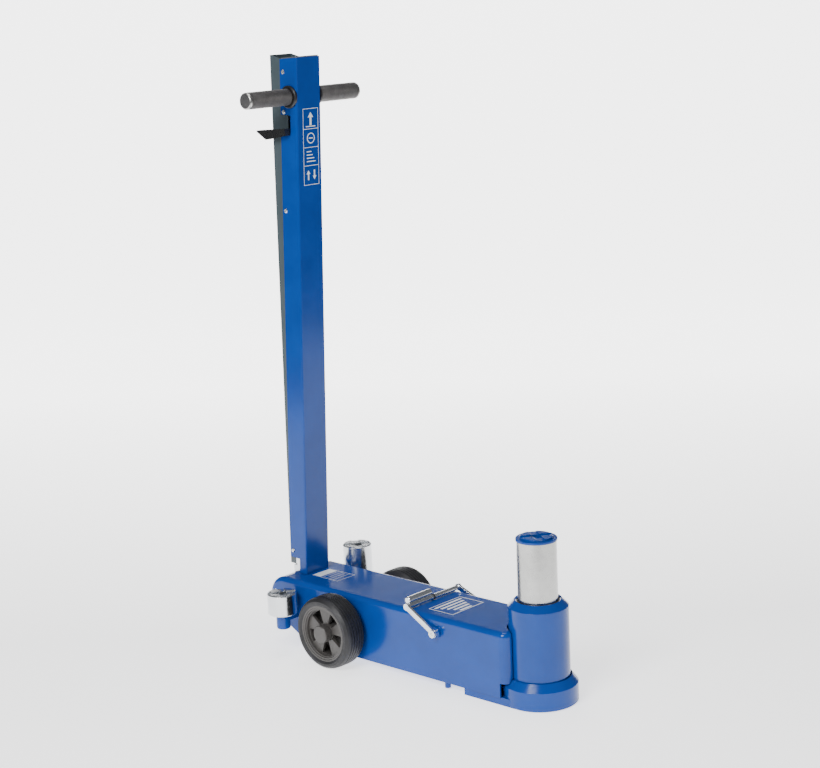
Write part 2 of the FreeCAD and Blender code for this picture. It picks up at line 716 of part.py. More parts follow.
def floor_bolts():
    low = TONGUE_THICKNESS + WELD_GAP
    y = -FLOOR_BOLT_Y
    head = post(FLOOR_BOLT_X, y, FLOOR_BOLT_BOTTOM, low - WELD_GAP, FLOOR_BOLT_RADIUS)
    shank = post(FLOOR_BOLT_X, y, FLOOR_BOLT_BOTTOM, low + FLOOR_SHEET + 4, FLOOR_BOLT_RADIUS / 2)
    return both_sides(head.fuse(shank))


def axle():
    return bar_y(AXLE_X, WHEEL_RADIUS, (-AXLE_HALF_LENGTH, AXLE_HALF_LENGTH), AXLE_RADIUS)


def axle_tube():
    ends = (-AXLE_BOSS_END, AXLE_BOSS_END)
    outer = bar_y(AXLE_X, WHEEL_RADIUS, ends, AXLE_BOSS_RADIUS)
    return outer.cut(bar_y(AXLE_X, WHEEL_RADIUS, (-100, 100), AXLE_RADIUS + WELD_GAP))


def axle_clips():
    high = WHEEL_OUTER_FACE - RIM_HUB_SET_BACK + SEAT_GAP
    ends = (-high, -high - CLIP_THICKNESS)
    disc = bar_y(AXLE_X, WHEEL_RADIUS, ends, CLIP_RADIUS)
    return both_sides(disc.cut(bar_y(AXLE_X, WHEEL_RADIUS, ends, AXLE_RADIUS + WELD_GAP)))


def handle_bracket():
    """Clevis on the chassis: two cheeks, and between them the notched disc that the lock drops into."""
    pivot = leaned_point(PIVOT_X, PIVOT_Z)
    low = CHASSIS_TOP - 20
    pieces = []
    for side in SIDES:
        ys = (side * BRACKET_CHEEK_INNER, side * BRACKET_CHEEK_OUTER)
        leg = prism_y([
            (pivot.x - BRACKET_REAR_LUG, low),
            (pivot.x + BRACKET_LEG_HALF_LENGTH, low),
            (pivot.x + BRACKET_HEAD_RADIUS, pivot.z),
            (pivot.x - BRACKET_HEAD_RADIUS, pivot.z),
            (pivot.x - BRACKET_LEG_HALF_LENGTH, CHASSIS_TOP + BRACKET_LUG_HEIGHT),
            (pivot.x - BRACKET_REAR_LUG, CHASSIS_TOP + BRACKET_LUG_HEIGHT),
        ], min(ys), max(ys))
        pieces.append(leg)
        pieces.append(bar_y(pivot.x, pivot.z, ys, BRACKET_HEAD_RADIUS))
    half = QUADRANT_HALF_WIDTH
    web = prism_y([
        (pivot.x - BRACKET_LEG_HALF_LENGTH, low),
        (pivot.x + BRACKET_LEG_HALF_LENGTH, low),
        (pivot.x + QUADRANT_RADIUS * 0.8, pivot.z - QUADRANT_RADIUS * 0.6),
        (pivot.x - QUADRANT_RADIUS * 0.8, pivot.z - QUADRANT_RADIUS * 0.6),
    ], -half, half)
    disc = bar_y(pivot.x, pivot.z, (-half, half), QUADRANT_RADIUS)
    for angle in QUADRANT_NOTCHES:
        notch = slab(
            (-PLUNGER_RADIUS, PLUNGER_RADIUS),
            (-half - 1, half + 1),
            (QUADRANT_RADIUS - QUADRANT_NOTCH_DEPTH, QUADRANT_RADIUS + 5),
        )
        notch.rotate(at(0, 0, 0), Y_AXIS, HANDLE_LEAN - angle)
        notch.translate(pivot)
        disc = disc.cut(notch)
    plate = slab(
        (pivot.x - BRACKET_REAR_LUG, pivot.x + BRACKET_LEG_HALF_LENGTH),
        (-BRACKET_CHEEK_OUTER, BRACKET_CHEEK_OUTER),
        (low, CHASSIS_TOP + 5),
    )
    bracket = plate.fuse(pieces + [web, disc])
    bracket = bracket.cut(bar_y(pivot.x, pivot.z, (-100, 100), PIVOT_RADIUS + RUNNING_FIT))
    return bracket.cut(chassis_solid(-WELD_GAP)).removeSplitter()


def leaned_point(x, z):
    """Where a point of the upright handle goes once the handle leans."""
    angle = math.radians(HANDLE_LEAN)
    dx = x - HANDLE_FRONT
    dz = z - HANDLE_BOTTOM
    return at(
        HANDLE_FRONT + dx * math.cos(angle) + dz * math.sin(angle),
        0,
        HANDLE_BOTTOM - dx * math.sin(angle) + dz * math.cos(angle),
    )


def carry_bolts():
    head_low = CARRY_ARM_OUTER + SEAT_GAP
    shank = bar_y(CARRY_X, CARRY_Z, (CHASSIS_INNER, head_low + 1), CARRY_BOLT_RADIUS)
    head = bar_y(CARRY_X, CARRY_Z, (head_low, head_low + CARRY_BOLT_HEAD), CARRY_BOLT_HEAD_RADIUS)
    socket = bar_y(CARRY_X, CARRY_Z, (head_low + CARRY_BOLT_HEAD - 2, head_low + 10), CARRY_BOLT_RADIUS * 0.6)
    return both_sides(shank.fuse(head).cut(socket))


# ---------------------------------------------------------------- tank, pump and air motor

def oil_tank():
    half = TANK_HALF_WIDTH
    low = TONGUE_THICKNESS + 2 * WELD_GAP + FLOOR_SHEET
    wall = TANK_SHEET
    outer = slab((TANK_REAR, TANK_FRONT), (-half, half), (low, TANK_TOP))
    inner = slab(
        (TANK_REAR + wall, TANK_FRONT - wall),
        (wall - half, half - wall),
        (low + wall, TANK_TOP - wall),
    )
    filler_x = TANK_REAR + 30
    tank = outer.cut(inner)
    tank = tank.cut(post(filler_x, half - 25, TANK_TOP - wall - 1, TANK_TOP + 1, PLUG_RADIUS + WELD_GAP))
    outlet = bar_x(OIL_PIPE_Y, OIL_PIPE_Z, (TANK_FRONT - wall - 1, TANK_FRONT + 1), HOSE_RADIUS + WELD_GAP)
    return tank.cut(outlet)


def tank_plug():
    x = TANK_REAR + 30
    y = TANK_HALF_WIDTH - 25
    stem = post(x, y, TANK_TOP - TANK_SHEET, TANK_TOP + 2, PLUG_RADIUS)
    return stem.fuse(post(x, y, TANK_TOP + WELD_GAP, TANK_TOP + 8, PLUG_RADIUS + 4))


def pump_block():
    half = PUMP_HALF_WIDTH
    rear = -TONGUE_LENGTH
    block = slab((rear, PUMP_FRONT), (-half, half), (TONGUE_THICKNESS + WELD_GAP, PUMP_TOP))
    block = block.cut(bar_x(0, MOTOR_Z, (rear - 1, PLUNGER_BORE_END), AIR_PLUNGER_RADIUS + RUNNING_FIT))
    port = bar_x(OIL_PIPE_Y, OIL_PIPE_Z, (rear - 1, rear + 12), HOSE_RADIUS + WELD_GAP)
    return block.cut(port).cut(turned(foot_outline(FOOT_GAP)))


def pump_screws():
    x = (PUMP_FRONT - TONGUE_LENGTH) / 2 - 15
    screws = []
    for side in SIDES:
        y = side * PUMP_SCREW_Y
        screws.append(post(x, y, PUMP_TOP + WELD_GAP, PUMP_TOP + PUMP_SCREW_HEAD, PUMP_SCREW_HEAD_RADIUS))
    return Part.makeCompound(screws)


def air_motor_cylinder():
    ends = (MOTOR_REAR, -TONGUE_LENGTH - WELD_GAP)
    return bar_x(0, MOTOR_Z, ends, MOTOR_RADIUS).cut(bar_x(0, MOTOR_Z, ends, MOTOR_BORE))


def air_motor_cap():
    ends = (MOTOR_REAR - MOTOR_CAP, MOTOR_REAR - WELD_GAP)
    cap = bar_x(0, MOTOR_Z, ends, MOTOR_CAP_RADIUS)
    return cap.cut(bar_x(0, MOTOR_Z + MOTOR_BORE / 2, (MOTOR_REAR - MOTOR_CAP - 1, MOTOR_REAR), 3.0))


def air_piston():
    ends = (AIR_PISTON_X, AIR_PISTON_X + AIR_PISTON_THICKNESS)
    disc = bar_x(0, MOTOR_Z, ends, MOTOR_BORE - RUNNING_FIT)
    return disc.fuse(bar_x(0, MOTOR_Z, (AIR_PISTON_X, AIR_PLUNGER_END), AIR_PLUNGER_RADIUS))


def piston_spring():
    low = AIR_PISTON_X + AIR_PISTON_THICKNESS
    high = -TONGUE_LENGTH
    place = at(0, 0, MOTOR_Z)
    return coil(AIR_SPRING_RADIUS, AIR_SPRING_WIRE, low, high, AIR_SPRING_TURNS, place, "x")


def oil_pipe():
    outer = bar_x(OIL_PIPE_Y, OIL_PIPE_Z, (TANK_FRONT - TANK_SHEET, -TONGUE_LENGTH + 10), HOSE_RADIUS)
    return outer.cut(bar_x(OIL_PIPE_Y, OIL_PIPE_Z, (TANK_FRONT - 10, -TONGUE_LENGTH + 11), HOSE_RADIUS - 1.5))


def tube_along(points, radius, bend):
    """A round hose along straight runs joined by tangent arcs, in the plane y = 0."""
    edges = []
    start = points[0]
    for before, corner, after in zip(points, points[1:], points[2:]):
        back = (before - corner).normalize()
        on = (after - corner).normalize()
        reach = bend / math.tan(back.getAngle(on) / 2)
        first = corner + back * reach
        last = corner + on * reach
        inward = (back + on).normalize()
        middle = corner + inward * (math.hypot(reach, bend) - bend)
        edges.append(Part.LineSegment(start, first).toShape())
        edges.append(Part.Arc(first, middle, last).toShape())
        start = last
    edges.append(Part.LineSegment(start, points[-1]).toShape())
    direction = (points[1] - points[0]).normalize()
    profile = Part.Wire(Part.makeCircle(radius, points[0], direction))
    return Part.Wire(edges).makePipeShell([profile], True, True)


def air_hose_lower():
    start_z = MOTOR_Z + MOTOR_BORE / 2
    points = [
        at(MOTOR_REAR - MOTOR_CAP - WELD_GAP, 0, start_z),
        at(LOWER_HOSE_DROP_X, 0, start_z),
        at(LOWER_HOSE_DROP_X, 0, LOWER_HOSE_Z),
        at(LOWER_HOSE_END_X, 0, LOWER_HOSE_Z),
        at(LOWER_HOSE_END_X, 0, CHASSIS_TOP - SHEET - WELD_GAP),
    ]
    return tube_along(points, HOSE_RADIUS, LOWER_HOSE_BEND)


def air_inlet():
    """Quick-coupling nipple in the rear wall of the chassis."""
    hexagon = []
    for corner in range(6):
        angle = math.radians(60 * corner)
        hexagon.append(at(CHASSIS_REAR - WELD_GAP, INLET_HEX_RADIUS * math.cos(angle),
                          INLET_Z + INLET_HEX_RADIUS * math.sin(angle)))
    nut = Part.Face(Part.makePolygon(hexagon + hexagon[:1])).extrude(at(-INLET_HEX, 0, 0))
    tip = CHASSIS_REAR - INLET_HEX - INLET_LENGTH
    stem = bar_x(0, INLET_Z, (tip, CHASSIS_REAR + SHEET + 6), INLET_RADIUS)
    waist = bar_x(0, INLET_Z, (tip + 7, tip + 11), INLET_RADIUS + 1)
    waist = waist.cut(bar_x(0, INLET_Z, (tip + 6, tip + 12), INLET_RADIUS - 1.2))
    bore = bar_x(0, INLET_Z, (tip - 1, CHASSIS_REAR + SHEET + 7), 3.0)
    return nut.fuse(stem).cut(waist).cut(bore)


# ---------------------------------------------------------------- wheels

def tyre():
    """Solid tyre with bevelled shoulders and fine grooves round the tread, centred on y = 0."""
    half = WHEEL_WIDTH / 2
    outline = [
        (RIM_RADIUS, -half + 3),
        (RIM_RADIUS + 5, -half),
        (WHEEL_RADIUS - 8, -half),
        (WHEEL_RADIUS - 2.5, -half + 5.5),
        (WHEEL_RADIUS - 0.8, -half + 10),
        (WHEEL_RADIUS, -half + 17),
        (WHEEL_RADIUS, half - 17),
        (WHEEL_RADIUS - 0.8, half - 10),
        (WHEEL_RADIUS - 2.5, half - 5.5),
        (WHEEL_RADIUS - 8, half),
        (RIM_RADIUS + 5, half),
        (RIM_RADIUS, half - 3),
    ]
    body = turned_y(outline, 0, 0)
    for middle in TREAD_GROOVES:
        ends = (middle - GROOVE_WIDTH / 2, middle + GROOVE_WIDTH / 2)
        groove = bar_y(0, 0, ends, WHEEL_RADIUS + 1).cut(bar_y(0, 0, ends, WHEEL_RADIUS - GROOVE_DEPTH))
        body = body.cut(groove)
    return body


def rim(side):
    """Moulded rim: stepped ring, dished web with five windows, hub bored for the axle."""
    half = WHEEL_WIDTH / 2
    back_low = RIM_STEP_SET_BACK - half
    ring = turned_y([
        (RIM_RADIUS - WELD_GAP, RIM_LIP_SET_BACK - half),
        (RIM_RADIUS - WELD_GAP, half - RIM_LIP_SET_BACK),
        (RIM_INNER_RADIUS + 7, half - RIM_LIP_SET_BACK),
        (RIM_INNER_RADIUS + 6, half - 5),
        (RIM_INNER_RADIUS + 3, half - 5),
        (RIM_INNER_RADIUS + 2, half - RIM_STEP_SET_BACK),
        (RIM_INNER_RADIUS, half - RIM_STEP_SET_BACK),
        (RIM_INNER_RADIUS, back_low),
        (RIM_INNER_RADIUS + 7, RIM_LIP_SET_BACK - half),
    ], 0, 0)
    web_high = half - SPOKE_SET_BACK
    web = bar_y(0, 0, (web_high - SPOKE_THICKNESS, web_high), RIM_INNER_RADIUS + 1)
    for spoke in range(SPOKE_COUNT):
        web = web.cut(window(spoke, web_high - SPOKE_THICKNESS - 1, web_high + 1))
    inner_end = AXLE_BOSS_END + SEAT_GAP - WHEEL_MIDDLE
    hub = bar_y(0, 0, (inner_end, half - RIM_HUB_SET_BACK), RIM_HUB_RADIUS)
    back = bar_y(0, 0, (back_low, back_low + BACK_WEB), RIM_INNER_RADIUS + 1)
    body = ring.fuse([web, back, hub])
    body = body.cut(bar_y(0, 0, (-half - 1, half + 1), AXLE_RADIUS + RUNNING_FIT))
    return placed_wheel_piece(body, side)


def window(index, low, high):
    """One wedge-shaped opening of the web, between two spokes."""
    step = 360.0 / SPOKE_COUNT
    start = index * step + SPOKE_ANGLE / 2
    sweep = step - SPOKE_ANGLE
    wedge = Part.makeCylinder(RIM_INNER_RADIUS - 2, high - low, at(0, low, 0), Y_AXIS, sweep)
    wedge = wedge.cut(bar_y(0, 0, (low, high), RIM_HUB_RADIUS + 2))
    wedge.rotate(at(0, 0, 0), Y_AXIS, start)
    return wedge


def hub_cap(side):
    """Hollow cap over the axle end, standing a little out of the tyre's outer face."""
    skirt = WHEEL_WIDTH / 2 - CAP_LENGTH
    face = WHEEL_WIDTH / 2 + CAP_PROUD
    outline = [
        (CAP_RADIUS, skirt),
        (CAP_RADIUS, face - 1.5),
        (CAP_RADIUS - 1.5, face),
        (0, face),
        (0, face - CAP_WALL),
        (RIM_HUB_RADIUS + WELD_GAP, face - CAP_WALL),
        (RIM_HUB_RADIUS + WELD_GAP, skirt),
    ]
    return placed_wheel_piece(turned_y(outline, 0, 0), side)


def placed_wheel_piece(shape, side):
    """Wheel pieces are drawn with their outer face towards +Y."""
    piece = mirrored(shape) if side < 0 else shape
    piece.translate(at(AXLE_X, side * WHEEL_MIDDLE, WHEEL_RADIUS))
    return piece


# ---------------------------------------------------------------- carry handle

def carry_arms():
    """Two flat arms with an eye at the chassis, leaning in to a round knuckle at the crossbar."""
    reach = math.hypot(CARRY_REACH_X, CARRY_REACH_Z)
    half = CARRY_ARM_HALF_HEIGHT
    strip = slab((0, reach), (-CARRY_ARM_THICKNESS, 0), (-half, half))
    strip.rotate(at(0, 0, 0), Z_AXIS, -math.degrees(math.atan2(CARRY_INSET, reach)))
    strip.rotate(at(0, 0, 0), Y_AXIS, -math.degrees(math.atan2(CARRY_REACH_Z, CARRY_REACH_X)))
    strip.translate(at(CARRY_X, CARRY_ARM_OUTER, CARRY_Z))
    eye = bar_y(CARRY_X, CARRY_Z, (CARRY_ARM_INNER, CARRY_ARM_OUTER), CARRY_EYE_RADIUS)
    knuckle_ends = (CARRY_ARM_INNER - CARRY_INSET, CARRY_ARM_OUTER - CARRY_INSET)
    knuckle = bar_y(CARRY_ROD_X, CARRY_ROD_Z, knuckle_ends, CARRY_KNUCKLE_RADIUS)
    outer_side = (CARRY_ARM_OUTER, CARRY_ARM_OUTER + 10)
    outside = slab((CARRY_X - 20, CARRY_X + 20), outer_side, (CARRY_Z - 20, CARRY_Z + 20))
    inside = bar_y(CARRY_X, CARRY_Z, (CHASSIS_HALF_WIDTH, CARRY_ARM_INNER), CARRY_BOSS_RADIUS + 1)
    arm = strip.cut([outside, inside]).fuse([eye, knuckle])
    arm = arm.cut(bar_y(CARRY_X, CARRY_Z, (80, 110), CARRY_BOLT_RADIUS + RUNNING_FIT))
    return both_sides(arm)


def carry_crossbar():
    """Round bar between the arms, with a thicker hand bar welded along one half of it."""
    end = CARRY_ARM_INNER - CARRY_INSET - WELD_GAP
    rod = bar_y(CARRY_ROD_X, CARRY_ROD_Z, (-end, end), CARRY_ROD_RADIUS)
    rise = CARRY_ROD_RADIUS + GRIP_BAR_RADIUS - 0.8
    lift = math.sqrt(rise ** 2 - GRIP_BAR_BACK ** 2)
    grip = bar_y(
        CARRY_ROD_X - GRIP_BAR_BACK,
        CARRY_ROD_Z + lift,
        (-end + 4, -end + 4 + GRIP_BAR_LENGTH),
        GRIP_BAR_RADIUS,
    )
    grip = grip.makeChamfer(1.5, grip.Edges)
    return rod.fuse(grip)


def carry_buffer():
    """Rubber ring that the folded handle rests on."""
    half = CARRY_BUFFER_WIDTH / 2
    radius = CARRY_ROD_Z - CHASSIS_TOP - SEAT_GAP
    ring = bar_y(CARRY_ROD_X, CARRY_ROD_Z, (-half, half), radius)
    return ring.cut(bar_y(CARRY_ROD_X, CARRY_ROD_Z, (-half, half), CARRY_ROD_RADIUS + WELD_GAP))


# ---------------------------------------------------------------- steering handle

def handle_channel():
    """Folded sheet, closed at the front and both sides, open at the rear."""
    half = HANDLE_HALF_WIDTH
    outer = slab((HANDLE_REAR, HANDLE_FRONT), (-half, half), (HANDLE_BOTTOM, HANDLE_TOP))
    corners = [edge for edge in outer.Edges if is_corner_at(edge, HANDLE_FRONT)]
    outer = outer.makeFillet(HANDLE_BEND, corners)
    inner = slab(
        (HANDLE_REAR - 1, HANDLE_FRONT_INNER),
        (-HANDLE_INNER, HANDLE_INNER),
        (HANDLE_BOTTOM - 1, HANDLE_TOP + 1),
    )
    corners = [edge for edge in inner.Edges if is_corner_at(edge, HANDLE_FRONT_INNER)]
    channel = outer.cut(inner.makeFillet(HANDLE_BEND - HANDLE_SHEET, corners))
    slope = prism_y([
        (HANDLE_FRONT_INNER, HANDLE_TOP),
        (HANDLE_REAR - 1, HANDLE_TOP - HANDLE_TOP_SLOPE),
        (HANDLE_REAR - 1, HANDLE_TOP + 1),
        (HANDLE_FRONT_INNER, HANDLE_TOP + 1),
    ], -half - 1, half + 1)
    foot_notch = slab(
        (HANDLE_REAR - 1, HANDLE_REAR + FOOT_NOTCH_DEPTH),
        (-half - 1, half + 1),
        (HANDLE_BOTTOM - 1, HANDLE_BOTTOM + FOOT_NOTCH_HEIGHT),
    )
    lever_notch = slab(
        (HANDLE_REAR - 1, HANDLE_REAR + LEVER_NOTCH_DEPTH),
        (-half - 1, -HANDLE_INNER + 1),
        (LEVER_NOTCH_BOTTOM, LEVER_NOTCH_TOP),
    )
    corners = [edge for edge in lever_notch.Edges if is_along_y_at(edge, HANDLE_REAR + LEVER_NOTCH_DEPTH)]
    lever_notch = lever_notch.makeFillet(4.0, corners)
    channel = channel.cut([slope, foot_notch, lever_notch])
    channel = channel.cut(bar_y(CROSSBAR_X, CROSSBAR_Z, (-50, 50), COLLAR_BUSH_RADIUS + WELD_GAP))
    pin_end = half - LEVER_PIN_COVER
    pin_hole = bar_y(LEVER_PIVOT_X, LEVER_PIVOT_Z, (-pin_end, pin_end), LEVER_PIN_RADIUS + WELD_GAP)
    channel = channel.cut(pin_hole)
    for height in SCREW_HEIGHTS:
        channel = channel.cut(bar_y(screw_x(), height, (-50, 50), SCREW_RADIUS + WELD_GAP))
    return channel


def is_corner_at(edge, x):
    """An upright edge of any height, standing at x."""
    box = edge.BoundBox
    return box.ZLength > 20 and box.XLength < 0.01 and abs(box.XMin - x) < 0.01


def is_along_y_at(edge, x):
    box = edge.BoundBox
    return box.YLength > 1 and box.ZLength < 0.01 and abs(box.XMin - x) < 0.01 and box.XLength < 0.01


def screw_x():
    return HANDLE_REAR + SCREW_INSET


def cover_depth(z):
    """How far the rear cover stands out behind the handle at height z."""
    share = (z - COVER_BOTTOM) / (HANDLE_TOP - COVER_BOTTOM)
    return COVER_BOTTOM_DEPTH + (COVER_TOP_DEPTH - COVER_BOTTOM_DEPTH) * share


def handle_back_cover():
    """Tapering sheet cover that closes the rear of the handle and laps inside its walls."""
    half = HANDLE_INNER - COVER_SIDE_GAP
    top = HANDLE_TOP - HANDLE_TOP_SLOPE
    rear_top = top + COVER_TOP_RISE

    def section(inset, margin):
        return [
            (HANDLE_REAR + COVER_LAP + margin, COVER_BOTTOM - margin),
            (HANDLE_REAR + COVER_LAP + margin, top + margin),
            (HANDLE_REAR, top + margin),
            (HANDLE_REAR - cover_depth(rear_top) + inset, rear_top + margin),
            (HANDLE_REAR - cover_depth(COVER_BOTTOM) + inset, COVER_BOTTOM - margin),
        ]

    outer = prism_y(section(0, 0), -half, half)
    cover = outer.cut(prism_y(section(COVER_SHEET, 1), COVER_SHEET - half, half - COVER_SHEET))
    bracket_room = slab(
        (HANDLE_REAR, HANDLE_FRONT),
        (-half - 1, half + 1),
        (HANDLE_TOP + BRACKET_TOP_PROUD - BRACKET_FLANGE_HEIGHT, HANDLE_TOP + 10),
    )
    yoke_room = slab(
        (yoke_rear() - SEAT_GAP, HANDLE_FRONT),
        (-half - 1, half + 1),
        (COVER_BOTTOM - 2, YOKE_TOP + SEAT_GAP),
    )
    mouth = slab(
        (HANDLE_REAR - COVER_TOP_DEPTH, HANDLE_FRONT),
        (COVER_SHEET - half, half - COVER_SHEET),
        (COVER_BOTTOM - 2, PIVOT_Z + COVER_MOUTH),
    )
    crossbar_room = bar_y(CROSSBAR_X, CROSSBAR_Z, (-50, 50), COLLAR_BUSH_RADIUS + SEAT_GAP)
    cover = cover.cut([bracket_room, yoke_room, mouth, crossbar_room])
    for height in SCREW_HEIGHTS:
        cover = cover.cut(bar_y(screw_x(), height, (-50, 50), SCREW_RADIUS + WELD_GAP))
    return cover


def cover_screws():
    """Round-headed screws through both side walls, into nuts behind the cover's flanges."""
    screws = []
    for height in SCREW_HEIGHTS:
        head_low = HANDLE_HALF_WIDTH + WELD_GAP
        x = screw_x()
        head = Part.makeCone(SCREW_HEAD_RADIUS, SCREW_HEAD_RADIUS * 0.62, SCREW_HEAD_HEIGHT,
                             at(x, head_low, height), Y_AXIS)
        shank = bar_y(x, height, (head_low + 1, head_low - SCREW_LENGTH), SCREW_RADIUS)
        recess_ends = (head_low + SCREW_HEAD_HEIGHT - 1.2, head_low + 6)
        recess = bar_y(x, height, recess_ends, SCREW_HEAD_RADIUS * 0.36)
        screw = head.fuse(shank).cut(recess)
        screws.append(screw)
        screws.append(mirrored(screw))
    return Part.makeCompound(screws)


def yoke_rear():
    return PIVOT_X - PIVOT_RADIUS - YOKE_EDGE


def handle_yoke():
    """Inner fork that carries the pivot pin between the handle's walls."""
    outer_half = HANDLE_INNER - WELD_GAP
    front = HANDLE_FRONT_INNER - WELD_GAP
    rear = yoke_rear()
    outer = slab((rear, front), (-outer_half, outer_half), (YOKE_BOTTOM, YOKE_TOP))
    corners = [edge for edge in outer.Edges if is_corner_at(edge, front)]
    outer = outer.makeFillet(HANDLE_BEND - HANDLE_SHEET, corners)
    inner_half = outer_half - YOKE_THICKNESS
    inner = slab(
        (rear - 1, front - YOKE_THICKNESS),
        (-inner_half, inner_half),
        (YOKE_BOTTOM - 1, YOKE_TOP + 1),
    )
    yoke = outer.cut(inner)
    slope = prism_y([
        (rear - 1, PIVOT_Z + PIVOT_RADIUS + YOKE_EDGE),
        (rear - 1, YOKE_TOP + 1),
        (HANDLE_FRONT_INNER - 6, YOKE_TOP + 1),
    ], -50, 50)
    return yoke.cut(slope).cut(bar_y(PIVOT_X, PIVOT_Z, (-50, 50), PIVOT_RADIUS))


def pivot_pin():
    end = HANDLE_INNER - 2 * WELD_GAP
    return bar_y(PIVOT_X, PIVOT_Z, (-end, end), PIVOT_RADIUS)


def valve_bracket():
    """Plated sheet behind the handle's front wall: a channel at the top, a shelf for the valve below."""
    front = HANDLE_FRONT_INNER - WELD_GAP
    back = front - BRACKET_SHEET
    half = HANDLE_INNER - WELD_GAP
    top = HANDLE_TOP + BRACKET_TOP_PROUD
    low = top - BRACKET_FLANGE_HEIGHT
    shelf = VALVE_BOTTOM - BRACKET_SHEET
    rear = HANDLE_REAR + 1.0
    outer = slab((rear, front), (-half, half), (low, top))
    corners = [edge for edge in outer.Edges if is_corner_at(edge, front)]
    outer = outer.makeFillet(HANDLE_BEND - HANDLE_SHEET, corners)
    inner_half = half - BRACKET_SHEET
    channel = outer.cut(slab((rear - 1, back), (-inner_half, inner_half), (low - 1, top + 1)))
    slope = prism_y([
        (back, top),
        (rear - 1, top - HANDLE_TOP_SLOPE),
        (rear - 1, top + 1),
        (back, top + 1),
    ], -half - 1, half + 1)
    web = slab((back, front), (4 - half, half - 4), (shelf, low + 1))
    platform = slab((HANDLE_REAR - 18, front), (-VALVE_HALF, VALVE_HALF), (shelf, VALVE_BOTTOM))
    spool_hole = post(spool_x(), 0, shelf - 1, VALVE_BOTTOM + 1, SPOOL_RADIUS + 1)
    bracket = channel.cut(slope).fuse([web, platform]).cut(spool_hole)
    bracket = bracket.cut(bar_y(CROSSBAR_X, CROSSBAR_Z, (-14, 14), CROSSBAR_RADIUS + 9))
    bracket = bracket.cut(bar_y(screw_x(), SCREW_HEIGHTS[-1], (-50, 50), SCREW_RADIUS + WELD_GAP))
    return bracket.removeSplitter()


def spool_x():
    """The spool runs straight up and down beside the crossbar, at the fork's reach."""
    return CROSSBAR_X - FORK_REACH


def valve_body():
    x = spool_x()
    body = slab(
        (x - VALVE_HALF, x + VALVE_HALF),
        (-VALVE_HALF, VALVE_HALF),
        (VALVE_BOTTOM + WELD_GAP, VALVE_TOP),
    )
    return body.cut(post(x, 0, VALVE_BOTTOM - 1, VALVE_TOP + 1, SPOOL_RADIUS + RUNNING_FIT))


def valve_spool():
    x = spool_x()
    stem = post(x, 0, SPOOL_BOTTOM, CROSSBAR_Z + 4.5, SPOOL_RADIUS)
    pin_half = FORK_GAP_HALF + FORK_TINE + 1.0
    return stem.fuse(bar_y(x, CROSSBAR_Z, (-pin_half, pin_half), SPOOL_PIN_RADIUS))


def valve_fork():
    """Two slotted tines on the crossbar that carry the spool's cross pin."""
    hub_half = FORK_GAP_HALF + FORK_TINE
    hub = bar_y(CROSSBAR_X, CROSSBAR_Z, (-hub_half, hub_half), CROSSBAR_RADIUS + 4)
    slot_half = SPOOL_PIN_RADIUS + FORK_SLOT_CLEARANCE
    pieces = []
    for side in SIDES:
        ys = (side * FORK_GAP_HALF, side * hub_half)
        tine = slab((CROSSBAR_X - FORK_REACH - 6, CROSSBAR_X), ys, (CROSSBAR_Z - 6, CROSSBAR_Z + 6))
        pieces.append(tine)
    fork = hub.fuse(pieces)
    slot = slab(
        (CROSSBAR_X - FORK_REACH - 7, CROSSBAR_X - FORK_REACH + SPOOL_PIN_RADIUS + 2),
        (-hub_half - 1, hub_half + 1),
        (CROSSBAR_Z - slot_half, CROSSBAR_Z + slot_half),
    )
    return fork.cut(slot).cut(bar_y(CROSSBAR_X, CROSSBAR_Z, (-50, 50), CROSSBAR_RADIUS + WELD_GAP))


def grip_collars():
    """Flanged bushes that carry the crossbar in the handle's walls."""
    low = HANDLE_HALF_WIDTH + WELD_GAP
    outline = [
        (CROSSBAR_RADIUS + RUNNING_FIT, HANDLE_INNER - 2),
        (COLLAR_BUSH_RADIUS, HANDLE_INNER - 2),
        (COLLAR_BUSH_RADIUS, low),
        (COLLAR_FLANGE_RADIUS, low),
        (COLLAR_FLANGE_RADIUS, low + COLLAR_FLANGE - 2),
        (COLLAR_FLANGE_RADIUS - 2, low + COLLAR_FLANGE),
        (CROSSBAR_RADIUS + RUNNING_FIT, low + COLLAR_FLANGE),
    ]
    return both_sides(turned_y(outline, CROSSBAR_X, CROSSBAR_Z))


def crossbar_shaft():
    """Steel bar through the handle, with a wider plug at each end that closes its grip."""
    end = CROSSBAR_HALF_LENGTH
    radius = GRIP_RADIUS - 0.3
    outline = [
        (0, -end),
        (radius - 2.5, -end),
        (radius - 0.8, -end + 0.9),
        (radius, -end + 2.8),
        (radius, -end + CROSSBAR_END),
        (CROSSBAR_RADIUS, -end + CROSSBAR_END),
        (CROSSBAR_RADIUS, end - CROSSBAR_END),
        (radius, end - CROSSBAR_END),
        (radius, end - 2.8),
        (radius - 0.8, end - 0.9),
        (radius - 2.5, end),
        (0, end),
    ]
    return turned_y(outline, CROSSBAR_X, CROSSBAR_Z)


def grip(side):
    low = HANDLE_HALF_WIDTH + COLLAR_FLANGE + 2 * SEAT_GAP
    high = CROSSBAR_HALF_LENGTH - CROSSBAR_END - WELD_GAP
    outline = [
        (CROSSBAR_RADIUS + WELD_GAP, side * low),
        (GRIP_RADIUS - GRIP_EDGE, side * low),
        (GRIP_RADIUS, side * (low + GRIP_EDGE)),
        (GRIP_RADIUS, side * high),
        (CROSSBAR_RADIUS + WELD_GAP, side * high),
    ]
    return turned_y(outline, CROSSBAR_X, CROSSBAR_Z)


def hose_x():
    """The hose runs up behind the lever's pin."""
    return LEVER_PIVOT_X - LEVER_PIN_RADIUS - HOSE_RADIUS - 1


def air_hose_upper():
    return post(hose_x(), HOSE_Y, YOKE_TOP + 4, VALVE_BOTTOM - 4, HOSE_RADIUS)


